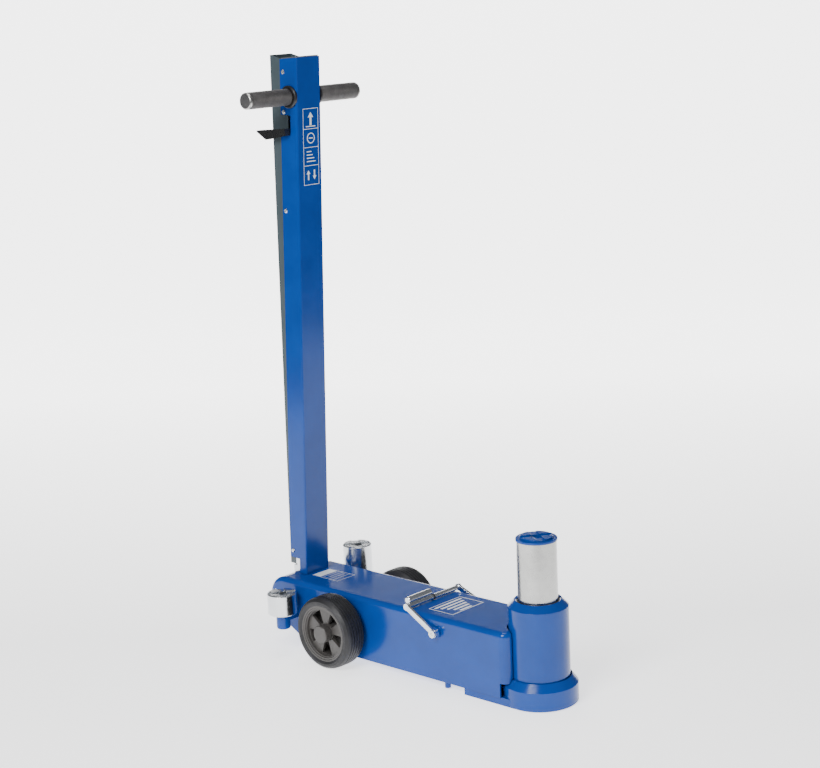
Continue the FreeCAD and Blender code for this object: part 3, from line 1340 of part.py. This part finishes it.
def plunger_guide():
    """Block across the handle that guides the plunger and holds the hose."""
    half = HANDLE_INNER - WELD_GAP
    front = HANDLE_FRONT_INNER - WELD_GAP
    block = slab((HANDLE_REAR + COVER_LAP + SEAT_GAP, front), (-half, half), (GUIDE_BOTTOM, GUIDE_TOP))
    corners = [edge for edge in block.Edges if is_corner_at(edge, front)]
    block = block.makeFillet(HANDLE_BEND - HANDLE_SHEET, corners)
    block = block.cut(post(PIVOT_X, 0, GUIDE_BOTTOM - 1, GUIDE_TOP + 1, PLUNGER_RADIUS + RUNNING_FIT))
    return block.cut(post(hose_x(), HOSE_Y, GUIDE_BOTTOM - 1, GUIDE_TOP + 1, HOSE_RADIUS + WELD_GAP))


# ---------------------------------------------------------------- release lever and lock

def lever_pin():
    end = HANDLE_HALF_WIDTH - LEVER_PIN_COVER - WELD_GAP
    return bar_y(LEVER_PIVOT_X, LEVER_PIVOT_Z, (-end, end), LEVER_PIN_RADIUS)


def release_lever():
    """Pressed finger lever beside the handle, with slotted arms inside that lift the lock rod."""
    hub_low = -HANDLE_INNER + 1
    arm_low = LOCK_ROD_RADIUS + LEVER_ARM_GAP
    arm_high = arm_low + LEVER_ARM
    heights = (LEVER_PIVOT_Z - LEVER_HUB_RADIUS + 1, LEVER_PIVOT_Z + LEVER_HUB_RADIUS - 1)
    hub = bar_y(LEVER_PIVOT_X, LEVER_PIVOT_Z, (hub_low, arm_high), LEVER_HUB_RADIUS)
    slot_half = LOCK_PIN_RADIUS + LOCK_SLOT_CLEARANCE
    slot_rear = PIVOT_X - 9
    arms = []
    for side in SIDES:
        arm = slab((slot_rear + 1, LEVER_PIVOT_X), (side * arm_low, side * arm_high), heights)
        arms.append(arm)
    slot = slab(
        (slot_rear, PIVOT_X + LOCK_PIN_RADIUS + 2),
        (-arm_high - 1, arm_high + 1),
        (LEVER_PIVOT_Z - slot_half, LEVER_PIVOT_Z + slot_half),
    )
    step_front = lever_root() - LEVER_WALL_GAP
    step_rear = HANDLE_REAR + COVER_LAP + LEVER_STEP_GAP
    tie = slab((step_rear, LEVER_PIVOT_X), (hub_low, hub_low + 5), heights)
    step = slab((step_rear, step_front), (-LEVER_INNER_Y - 4, hub_low + 5), heights)
    lever = hub.fuse(arms).cut(slot).fuse([tie, step, lever_blade()])
    lever = lever.cut(bar_y(LEVER_PIVOT_X, LEVER_PIVOT_Z, (-60, 60), LEVER_PIN_RADIUS + RUNNING_FIT))
    return lever.removeSplitter()


def lever_root():
    """Front edge of the notch that the lever comes out through."""
    return HANDLE_REAR + LEVER_NOTCH_DEPTH


def lever_blade():
    """Upside-down trough that droops to the rear and ends in a slanting tip."""
    root = lever_root() - 1
    top = LEVER_PIVOT_Z + 6.5
    length = root - LEVER_TIP
    low = top - LEVER_HEIGHT
    corner = top - LEVER_HEIGHT - LEVER_FLARE
    tip_cut = LEVER_TIP_SHARE * length
    outline = [
        (root, top),
        (root - length, top),
        (root - length, top - 3),
        (root - length + tip_cut, corner),
        (root, low),
    ]
    ys = (-LEVER_OUTER_Y, -LEVER_INNER_Y)
    blade = prism_y(outline, ys[0], ys[1])
    wall = LEVER_SHEET
    hollow = prism_y([
        (root - wall, top - wall),
        (root - length + 2 * wall, top - wall),
        (root - length + 2 * wall, top - 3),
        (root - length + tip_cut + wall, corner - 1),
        (root - wall, corner - 1),
    ], ys[0] + wall, ys[1] - wall)
    blade = blade.cut(hollow)
    blade.rotate(at(root, 0, top), Y_AXIS, -LEVER_DROOP)
    return blade


def lock_rod():
    """Round plunger over the notched disc, with a thin rod up to the lever's slotted arms."""
    tip = PIVOT_Z + QUADRANT_RADIUS + PLUNGER_TIP_GAP
    plunger = post(PIVOT_X, 0, tip, PLUNGER_TOP, PLUNGER_RADIUS)
    collar = post(PIVOT_X, 0, PLUNGER_COLLAR_BOTTOM, PLUNGER_COLLAR_BOTTOM + PLUNGER_COLLAR,
                  PLUNGER_COLLAR_RADIUS)
    stem = post(PIVOT_X, 0, PLUNGER_TOP - 1, LEVER_PIVOT_Z + 4.5, LOCK_ROD_RADIUS)
    pin_half = LOCK_ROD_RADIUS + LEVER_ARM_GAP + LEVER_ARM + 1
    pin = bar_y(PIVOT_X, LEVER_PIVOT_Z, (-pin_half, pin_half), LOCK_PIN_RADIUS)
    return plunger.fuse([collar, stem, pin])


def lock_spring():
    low = PLUNGER_COLLAR_BOTTOM + PLUNGER_COLLAR + WELD_GAP
    high = GUIDE_BOTTOM - WELD_GAP
    return coil(SPRING_RADIUS, SPRING_WIRE, low, high, SPRING_TURNS, at(PIVOT_X, 0, 0), "z")


# ---------------------------------------------------------------- export

def write_all():
    export("base_foot", base_foot())
    export("cylinder_tube", cylinder_tube())
    export("cylinder_head", cylinder_head())
    export("head_seals", head_seals())
    export("outer_ram", outer_ram())
    export("outer_ram_seals", outer_ram_seals())
    export("ram_collar", ram_collar())
    export("inner_ram", inner_ram())
    export("inner_ram_seal", inner_ram_seal())
    export("saddle", saddle())
    export("adaptor_short", adaptor(-1, SHORT_ADAPTOR))
    export("adaptor_tall", adaptor(1, TALL_ADAPTOR))
    export("adaptor_holders", Part.makeCompound([adaptor_holder(side) for side in SIDES]))
    export("chassis_cover", chassis_cover())
    export("chassis_floor", chassis_floor())
    export("floor_bolts", floor_bolts())
    export("axle", axle())
    export("axle_tube", axle_tube())
    export("axle_clips", axle_clips())
    export("handle_bracket", handle_bracket())
    export("carry_bolts", carry_bolts())
    export("oil_tank", oil_tank())
    export("tank_plug", tank_plug())
    export("pump_block", pump_block())
    export("pump_screws", pump_screws())
    export("air_motor_cylinder", air_motor_cylinder())
    export("air_motor_cap", air_motor_cap())
    export("air_piston", air_piston())
    export("piston_spring", piston_spring())
    export("oil_pipe", oil_pipe())
    export("air_hose_lower", air_hose_lower())
    export("air_inlet", air_inlet())
    for side, name in ((-1, "right"), (1, "left")):
        export("tyre_" + name, placed_wheel_piece(tyre(), side))
        export("rim_" + name, rim(side))
        export("hub_cap_" + name, hub_cap(side))
        export("grip_" + name, lean(grip(side)))
    export("carry_arms", carry_arms())
    export("carry_crossbar", carry_crossbar())
    export("carry_buffer", carry_buffer())
    export("handle_channel", lean(handle_channel()))
    export("handle_back_cover", lean(handle_back_cover()))
    export("cover_screws", lean(cover_screws()))
    export("handle_yoke", lean(handle_yoke()))
    export("pivot_pin", lean(pivot_pin()))
    export("valve_bracket", lean(valve_bracket()))
    export("valve_body", lean(valve_body()))
    export("grip_collars", lean(grip_collars()))
    export("air_hose_upper", lean(air_hose_upper()))
    export("plunger_guide", lean(plunger_guide()))
    export("lever_pin", lean(lever_pin()))
    export("crossbar_shaft", lean(crossbar_shaft()))
    export("valve_fork", lean(valve_fork()))
    export("valve_spool", lean(valve_spool()))
    export("release_lever", lean(release_lever()))
    export("lock_rod", lean(lock_rod()))
    export("lock_spring", lean(lock_spring()))


write_all()
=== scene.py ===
import json
import math
import bmesh
import bpy
from mathutils import Matrix, Vector


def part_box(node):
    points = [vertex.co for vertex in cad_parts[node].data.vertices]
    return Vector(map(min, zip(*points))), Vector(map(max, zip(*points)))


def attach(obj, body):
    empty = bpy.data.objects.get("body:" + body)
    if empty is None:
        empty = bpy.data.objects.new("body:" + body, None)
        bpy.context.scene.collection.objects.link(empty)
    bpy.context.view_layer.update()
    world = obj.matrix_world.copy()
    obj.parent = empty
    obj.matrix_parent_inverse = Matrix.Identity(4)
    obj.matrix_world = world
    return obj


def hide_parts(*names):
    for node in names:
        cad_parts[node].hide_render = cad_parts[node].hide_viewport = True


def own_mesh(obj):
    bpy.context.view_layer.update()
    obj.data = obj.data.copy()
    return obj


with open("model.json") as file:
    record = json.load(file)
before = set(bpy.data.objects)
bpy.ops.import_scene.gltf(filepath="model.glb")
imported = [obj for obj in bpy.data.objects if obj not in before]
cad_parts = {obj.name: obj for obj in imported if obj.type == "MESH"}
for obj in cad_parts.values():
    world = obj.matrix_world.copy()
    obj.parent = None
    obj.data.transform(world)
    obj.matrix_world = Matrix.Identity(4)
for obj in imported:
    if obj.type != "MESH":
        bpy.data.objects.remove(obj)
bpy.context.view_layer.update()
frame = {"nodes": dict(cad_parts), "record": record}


# ---------------------------------------------------------------- materials

def nodes_of(name):
    mat = bpy.data.materials.new(name)
    mat.use_nodes = True
    tree = mat.node_tree
    return mat, tree, tree.nodes["Principled BSDF"]


def link(tree, a, b):
    tree.links.new(a, b)


def noise(tree, scale, detail=3.0, rough=0.5):
    coord = tree.nodes.new("ShaderNodeTexCoord")
    tex = tree.nodes.new("ShaderNodeTexNoise")
    tex.inputs["Scale"].default_value = scale
    tex.inputs["Detail"].default_value = detail
    tex.inputs["Roughness"].default_value = rough
    link(tree, coord.outputs["Object"], tex.inputs["Vector"])
    return tex.outputs["Fac"]


def ramp(tree, fac, low, high, low_at=0.35, high_at=0.65):
    node = tree.nodes.new("ShaderNodeValToRGB")
    node.color_ramp.elements[0].position = low_at
    node.color_ramp.elements[1].position = high_at
    node.color_ramp.elements[0].color = (*low, 1)
    node.color_ramp.elements[1].color = (*high, 1)
    link(tree, fac, node.inputs["Fac"])
    return node.outputs["Color"]


def spread(tree, fac, low, high):
    node = tree.nodes.new("ShaderNodeMapRange")
    node.inputs["From Min"].default_value = 0.3
    node.inputs["From Max"].default_value = 0.7
    node.inputs["To Min"].default_value = low
    node.inputs["To Max"].default_value = high
    link(tree, fac, node.inputs["Value"])
    return node.outputs["Result"]


def bump(tree, height, distance, strength=1.0, under=None):
    node = tree.nodes.new("ShaderNodeBump")
    node.inputs["Strength"].default_value = strength
    node.inputs["Distance"].default_value = distance
    link(tree, height, node.inputs["Height"])
    if under is not None:
        link(tree, under, node.inputs["Normal"])
    return node.outputs["Normal"]


def shade(colour, by):
    return tuple(max(0.0, c * by) for c in colour)


def surface(name, colour, vary=0.08, rough=(0.3, 0.4), metallic=0.0, cloud=14.0, fine=900.0,
            grain=0.00002, coat=0.0, coat_rough=0.05, specular=0.5, edge=0.0):
    """A finish with slow colour clouds, roughness changes, a fine grain and rounded edges."""
    mat, tree, shader = nodes_of(name)
    slow = noise(tree, cloud, 4.0)
    link(tree, ramp(tree, slow, shade(colour, 1 - vary), shade(colour, 1 + vary)), shader.inputs["Base Color"])
    middle = noise(tree, cloud * 6, 5.0, 0.6)
    link(tree, spread(tree, middle, *rough), shader.inputs["Roughness"])
    grains = noise(tree, fine, 2.0)
    rounded = None
    if edge:
        bevel = tree.nodes.new("ShaderNodeBevel")
        bevel.samples = 4
        bevel.inputs["Radius"].default_value = edge
        rounded = bevel.outputs["Normal"]
    link(tree, bump(tree, grains, grain, 1.0, rounded), shader.inputs["Normal"])
    shader.inputs["Metallic"].default_value = metallic
    shader.inputs["Coat Weight"].default_value = coat
    shader.inputs["Coat Roughness"].default_value = coat_rough
    shader.inputs["Specular IOR Level"].default_value = specular
    return mat


def wave_surface(name, colour, direction, scale, distance, rough, metallic, vary=0.1):
    """Turned or ground metal: fine rings or lines across one direction."""
    mat = surface(name, colour, vary=vary, rough=rough, metallic=metallic, fine=600.0, grain=0.000004)
    tree = mat.node_tree
    shader = tree.nodes["Principled BSDF"]
    coord = tree.nodes.new("ShaderNodeTexCoord")
    wave = tree.nodes.new("ShaderNodeTexWave")
    wave.wave_type = "BANDS"
    wave.bands_direction = direction
    wave.inputs["Scale"].default_value = scale
    wave.inputs["Distortion"].default_value = 1.5
    wave.inputs["Detail"].default_value = 3.0
    wave.inputs["Detail Scale"].default_value = 2.0
    link(tree, coord.outputs["Object"], wave.inputs["Vector"])
    under = shader.inputs["Normal"].links[0].from_socket
    link(tree, bump(tree, wave.outputs["Fac"], distance, 0.6, under), shader.inputs["Normal"])
    return mat


BLUE = (0.0, 0.043, 0.255)
mats = {
    "blue_paint": surface("blue_powder_coat", BLUE, vary=0.07, rough=(0.15, 0.21), fine=700.0,
                          grain=0.000003, edge=0.001, specular=0.36),
    "grey_paint": surface("grey_powder_coat", (0.05, 0.07, 0.08), vary=0.08, rough=(0.32, 0.45), fine=700.0,
                          grain=0.00006, coat=0.15, coat_rough=0.3, edge=0.001),
    "ram_steel": wave_surface("ground_ram_steel", (0.47, 0.47, 0.455), "Z", 900.0, 0.000008, (0.2, 0.3), 1.0),
    "zinc_plate": surface("bright_zinc", (0.72, 0.74, 0.76), vary=0.06, rough=(0.16, 0.28), metallic=1.0,
                          cloud=30.0, fine=500.0, grain=0.000015, edge=0.0008),
    "dark_steel": surface("blackened_steel", (0.05, 0.05, 0.052), vary=0.2, rough=(0.3, 0.45), metallic=0.85,
                          cloud=40.0, fine=900.0, grain=0.00003),
    "bare_steel": wave_surface("turned_steel", (0.5, 0.49, 0.47), "Y", 600.0, 0.00001, (0.25, 0.35), 1.0),
    "cast_iron": surface("cast_iron", (0.12, 0.12, 0.125), vary=0.25, rough=(0.5, 0.7), metallic=0.6,
                         cloud=60.0, fine=700.0, grain=0.0002),
    "aluminium": surface("satin_aluminium", (0.58, 0.58, 0.6), vary=0.06, rough=(0.3, 0.42), metallic=1.0,
                         cloud=30.0),
    "tyre_rubber": surface("tyre_rubber", (0.012, 0.012, 0.014), vary=0.25, rough=(0.42, 0.6), cloud=40.0,
                           fine=1200.0, grain=0.00008, specular=0.45),
    "black_plastic": surface("rim_plastic", (0.062, 0.058, 0.055), vary=0.12, rough=(0.38, 0.5), cloud=40.0,
                             fine=900.0, grain=0.00005, edge=0.001),
    "lever_plastic": surface("black_lever", (0.012, 0.012, 0.012), vary=0.2, rough=(0.22, 0.34), cloud=50.0,
                             fine=800.0, grain=0.00004),
    "seal_rubber": surface("seal_rubber", (0.015, 0.015, 0.015), vary=0.2, rough=(0.5, 0.65)),
    "knurl_steel": surface("knurled_steel", (0.115, 0.11, 0.108), vary=0.12, rough=(0.32, 0.42), metallic=0.9,
                           cloud=60.0, fine=900.0, grain=0.00002),
    "brass": surface("brass", (0.68, 0.48, 0.2), vary=0.08, rough=(0.25, 0.35), metallic=1.0),
}

slots = {}
for part in frame["record"]["subparts"]:
    slots[part["node"]] = part["material_slot"]
for node, obj in frame["nodes"].items():
    obj.data.materials.clear()
    obj.data.materials.append(mats[slots[node]])


# ---------------------------------------------------------------- printed labels

LEAN = math.radians(2.77)               # the handle's lean, forward from upright
FOOT = Vector((-0.6405, 0.0, 0.1569))   # the handle's front foot, which it leans about
COVER_TOP = 0.1567
INK_LIFT = 0.0001
INK_SEAT = 0.00002                      # print stands this far off the paint under it
FRAME_LINE = 0.0011


def leaned(x, y, z):
    """A point of the upright handle, once the handle leans forward about its front foot."""
    dx, dz = x - FOOT.x, z - FOOT.z
    return Vector((FOOT.x + dx * math.cos(LEAN) + dz * math.sin(LEAN), y,
                   FOOT.z - dx * math.sin(LEAN) + dz * math.cos(LEAN)))


def rectangle(u0, v0, u1, v1):
    return [(u0, v0), (u1, v0), (u1, v1), (u0, v1)]


def outline(u0, v0, u1, v1, line):
    return [rectangle(u0, v0, u1, v0 + line), rectangle(u0, v1 - line, u1, v1),
            rectangle(u0, v0 + line, u0 + line, v1 - line), rectangle(u1 - line, v0 + line, u1, v1 - line)]


def ring(u, v, inner, outer, steps=28):
    out = []
    for i in range(steps):
        a, b = 2 * math.pi * i / steps, 2 * math.pi * (i + 1) / steps
        out.append([(u + r * math.cos(t), v + r * math.sin(t)) for r, t in
                    ((inner, a), (outer, a), (outer, b), (inner, b))])
    return out


def arrow(u, v, half, length, way=1):
    return [rectangle(u - half * 0.35, min(v, v + way * length * 0.6), u + half * 0.35,
                      max(v, v + way * length * 0.6)),
            [(u - half, v + way * length * 0.6), (u + half, v + way * length * 0.6), (u, v + way * length)]]


def printed(name, shapes, place, body, mat):
    """Flat printed shapes, each a thin closed slip lying on a surface of the object."""
    mesh = bpy.data.meshes.new(name)
    form = bmesh.new()
    for shape in shapes:
        low = [form.verts.new(place(u, v, INK_SEAT)) for u, v in shape]
        high = [form.verts.new(place(u, v, INK_LIFT)) for u, v in shape]
        form.faces.new(list(reversed(low)))
        form.faces.new(high)
        for i in range(len(shape)):
            j = (i + 1) % len(shape)
            form.faces.new([low[i], low[j], high[j], high[i]])
    bmesh.ops.recalc_face_normals(form, faces=form.faces)
    form.to_mesh(mesh)
    form.free()
    piece = bpy.data.objects.new(name, mesh)
    bpy.context.scene.collection.objects.link(piece)
    mesh.materials.append(mat)
    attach(piece, body)


def on_handle(u, v, lift):
    return leaned(FOOT.x + lift, u, v)


def on_cover(u, v, lift):
    return Vector((u, v, COVER_TOP + lift))


ink = surface("label_white", (0.78, 0.8, 0.82), vary=0.05, rough=(0.35, 0.5), cloud=80.0)

left, right, low_edge, high_edge = -0.01875, 0.0264, 1.0335, 1.1975
tall = high_edge - low_edge
cuts = [high_edge - tall * share for share in (0.0, 0.267, 0.507, 0.745, 1.0)]
lines = outline(left, low_edge, right, high_edge, FRAME_LINE)
for cut in cuts[1:-1]:
    lines.append(rectangle(left + FRAME_LINE, cut - 0.0006, right - FRAME_LINE, cut + 0.0006))
middle = (left + right) / 2
centre = [(cuts[i] + cuts[i + 1]) / 2 for i in range(4)]
lines += arrow(middle, centre[0] - 0.014, 0.008, 0.028)
lines += [rectangle(middle - 0.014, centre[0] - 0.0175, middle + 0.014, centre[0] - 0.0155)]
lines += ring(middle, centre[1], 0.0095, 0.0115)
lines += [rectangle(middle - 0.006, centre[1] - 0.001, middle + 0.006, centre[1] + 0.001)]
for step in range(4):
    at_v = centre[2] - 0.0105 + step * 0.007
    lines.append(rectangle(middle - 0.013, at_v - 0.001, middle + 0.013 - step * 0.004, at_v + 0.001))
lines += arrow(middle - 0.009, centre[3] - 0.01, 0.0055, 0.021)
lines += arrow(middle + 0.009, centre[3] + 0.011, 0.0055, 0.021, -1)
printed("handle_label", lines, on_handle, "handle", ink)

lines = outline(-0.630, -0.028, -0.551, 0.028, 0.0009)
lines += [rectangle(-0.630 + 0.0009, -0.0255, -0.606, 0.0255)]
lines += [rectangle(-0.600 + 0.011 * i, -0.0272, -0.5992 + 0.011 * i, 0.0272) for i in range(4)]
printed("cover_plate", lines, on_cover, "chassis", ink)
lines = outline(-0.258, -0.050, -0.190, 0.050, 0.0018)
lines += [rectangle(-0.250 + 0.0125 * i, -0.042 + 0.006 * i, -0.244 + 0.0125 * i, 0.042 - 0.006 * i)
          for i in range(5)]
printed("cover_stripes", lines, on_cover, "chassis", ink)


# ---------------------------------------------------------------- knurled grips

def knurled_grip(name, node):
    """A sleeve with a diamond knurl, plain at its rounded ends, in place of the smooth sleeve."""
    low, high = (Vector(corner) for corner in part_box(node))
    axis_x, axis_z = (low.x + high.x) / 2, (low.z + high.z) / 2
    radius = (high.x - low.x) / 2
    bore, margin, depth, around, pitch = 0.01305, 0.003, 0.0005, 48, 0.0024
    per_diamond = 5
    turns = around * per_diamond
    steps = int((high.y - low.y - 2 * margin) / (pitch / per_diamond))
    rows = [(low.y, bore, 0), (low.y, radius - 0.0015, 0), (low.y + 0.0015, radius - 0.0002, 0)]
    for i in range(steps + 1):
        rows.append((low.y + margin + (high.y - low.y - 2 * margin) * i / steps, radius, 1))
    rows += [(high.y - 0.0015, radius - 0.0002, 0), (high.y, radius - 0.0015, 0), (high.y, bore, 0)]
    mesh = bpy.data.meshes.new(name)
    form = bmesh.new()
    rings = []
    for y, reach, cut in rows:
        verts = []
        for k in range(turns):
            turn = 2 * math.pi * k / turns
            a, b = k / per_diamond, (y - low.y) / pitch
            one = abs(((a + b) % 1.0) - 0.5) * 2
            two = abs(((a - b) % 1.0) - 0.5) * 2
            r = reach - (depth * (1 - min(1.0, 1.6 * min(one, two))) if cut else 0)
            verts.append(form.verts.new((axis_x + r * math.sin(turn), y, axis_z + r * math.cos(turn))))
        rings.append(verts)
    for i in range(len(rings)):
        one, two = rings[i], rings[(i + 1) % len(rings)]
        for k in range(turns):
            n = (k + 1) % turns
            form.faces.new([one[k], one[n], two[n], two[k]])
    bmesh.ops.recalc_face_normals(form, faces=form.faces)
    form.to_mesh(mesh)
    form.free()
    piece = bpy.data.objects.new(name, mesh)
    bpy.context.scene.collection.objects.link(piece)
    mesh.materials.append(mats["knurl_steel"])
    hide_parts(node)
    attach(piece, "twist_grip")


knurled_grip("knurled_grip_right", "grip_right")
knurled_grip("knurled_grip_left", "grip_left")


# ---------------------------------------------------------------- springs

def shortening_spring(name, node, body):
    """A copy of the spring part, with a mesh of its own, fixed to the body that carries it."""
    piece = bpy.data.objects.new(name, frame["nodes"][node].data.copy())
    bpy.context.scene.collection.objects.link(piece)
    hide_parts(node)
    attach(piece, body)
    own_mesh(piece)


shortening_spring("lock_coil", "lock_spring", "handle")
shortening_spring("piston_coil", "piston_spring", "chassis")


# ---------------------------------------------------------------- floor, light and camera

def stage_floor():
    mesh = bpy.data.meshes.new("floor")
    form = bmesh.new()
    grid = bmesh.ops.create_grid(form, x_segments=60, y_segments=60, size=1.0)
    for v in grid["verts"]:
        v.co = Vector((-0.1 + v.co.x * 2.65, 2.85 + v.co.y * 4.45, 0))
        far = v.co.y - 4.0
        if far > 0:
            turn = min(far / 3.0, math.pi / 2)
            rise = 3.0 * (1 - math.cos(turn))
            v.co = Vector((v.co.x, 4.0 + 3.0 * math.sin(turn), rise + max(0.0, far - 3.0 * math.pi / 2)))
    form.to_mesh(mesh)
    form.free()
    for face in mesh.polygons:
        face.use_smooth = True
    floor = bpy.data.objects.new("studio_floor", mesh)
    bpy.context.scene.collection.objects.link(floor)
    mat = surface("studio_floor", (0.9, 0.9, 0.9), vary=0.01, rough=(0.6, 0.7), cloud=1.0)
    shader = mat.node_tree.nodes["Principled BSDF"]
    # Painted light: the floor glows white by itself, from 1.5 near the object up to 4.0 further back along its
    # Y, a painted brightening of the backdrop
    shader.inputs["Emission Color"].default_value = (1, 1, 1, 1)
    tree = mat.node_tree
    coord = tree.nodes.new("ShaderNodeTexCoord")
    split = tree.nodes.new("ShaderNodeSeparateXYZ")
    painted_backdrop_glow = tree.nodes.new("ShaderNodeMapRange")
    link(tree, coord.outputs["Object"], split.inputs["Vector"])
    link(tree, split.outputs["Y"], painted_backdrop_glow.inputs["Value"])
    painted_backdrop_glow.inputs["From Min"].default_value = 0.3
    painted_backdrop_glow.inputs["From Max"].default_value = 3.0
    painted_backdrop_glow.inputs["To Min"].default_value = 1.5
    painted_backdrop_glow.inputs["To Max"].default_value = 4.0
    link(tree, painted_backdrop_glow.outputs["Result"], shader.inputs["Emission Strength"])
    mesh.materials.append(mat)
    floor.rotation_euler = (0, 0, math.radians(43.16))
    floor.location = (-0.3, 0, -0.0005)


def area_light(name, place, aim, size, power, colour=(1, 1, 1)):
    data = bpy.data.lights.new(name, "AREA")
    data.shape = "RECTANGLE"
    data.size, data.size_y = size
    data.energy = power
    data.color = colour
    light = bpy.data.objects.new(name, data)
    light.location = place
    light.rotation_euler = (Vector(aim) - Vector(place)).to_track_quat("-Z", "Y").to_euler()
    bpy.context.scene.collection.objects.link(light)
    return light


def camera():
    data = bpy.data.cameras.new("camera")
    data.lens = 84.04
    data.sensor_width = 36.0
    data.clip_end = 60.0
    cam = bpy.data.objects.new("camera", data)
    azimuth, elevation, roll = (math.radians(a) for a in (43.16, 11.97, -2.49))
    back = Vector((math.sin(azimuth) * math.cos(elevation), -math.cos(azimuth) * math.cos(elevation),
                   math.sin(elevation)))
    level = Vector((math.cos(azimuth), math.sin(azimuth), 0))
    upright = back.cross(level)
    right = math.cos(roll) * level + math.sin(roll) * upright
    up = -math.sin(roll) * level + math.cos(roll) * upright
    target = Vector((-0.33026, 0.0, 0.62433))
    place = target + back * 4.02443
    turn = Matrix((right, up, back)).transposed()
    cam.matrix_world = Matrix.Translation(place) @ turn.to_4x4()
    bpy.context.scene.collection.objects.link(cam)
    bpy.context.scene.camera = cam


stage_floor()
area_light("key", (0.5, -3.6, 3.0), (-0.35, 0, 0.6), (2.0, 2.0), 230)
area_light("top", (-0.6, 0.5, 4.2), (-0.35, 0, 0.3), (2.0, 2.0), 60)
area_light("right_fill", (3.6, 1.0, 1.4), (-0.2, 0, 0.4), (1.2, 1.8), 14)
world = bpy.data.worlds.new("studio")
bpy.context.scene.world = world
world.use_nodes = True
world.node_tree.nodes["Background"].inputs["Color"].default_value = (0.9, 0.93, 1.0, 1)
world.node_tree.nodes["Background"].inputs["Strength"].default_value = 0.2
camera()
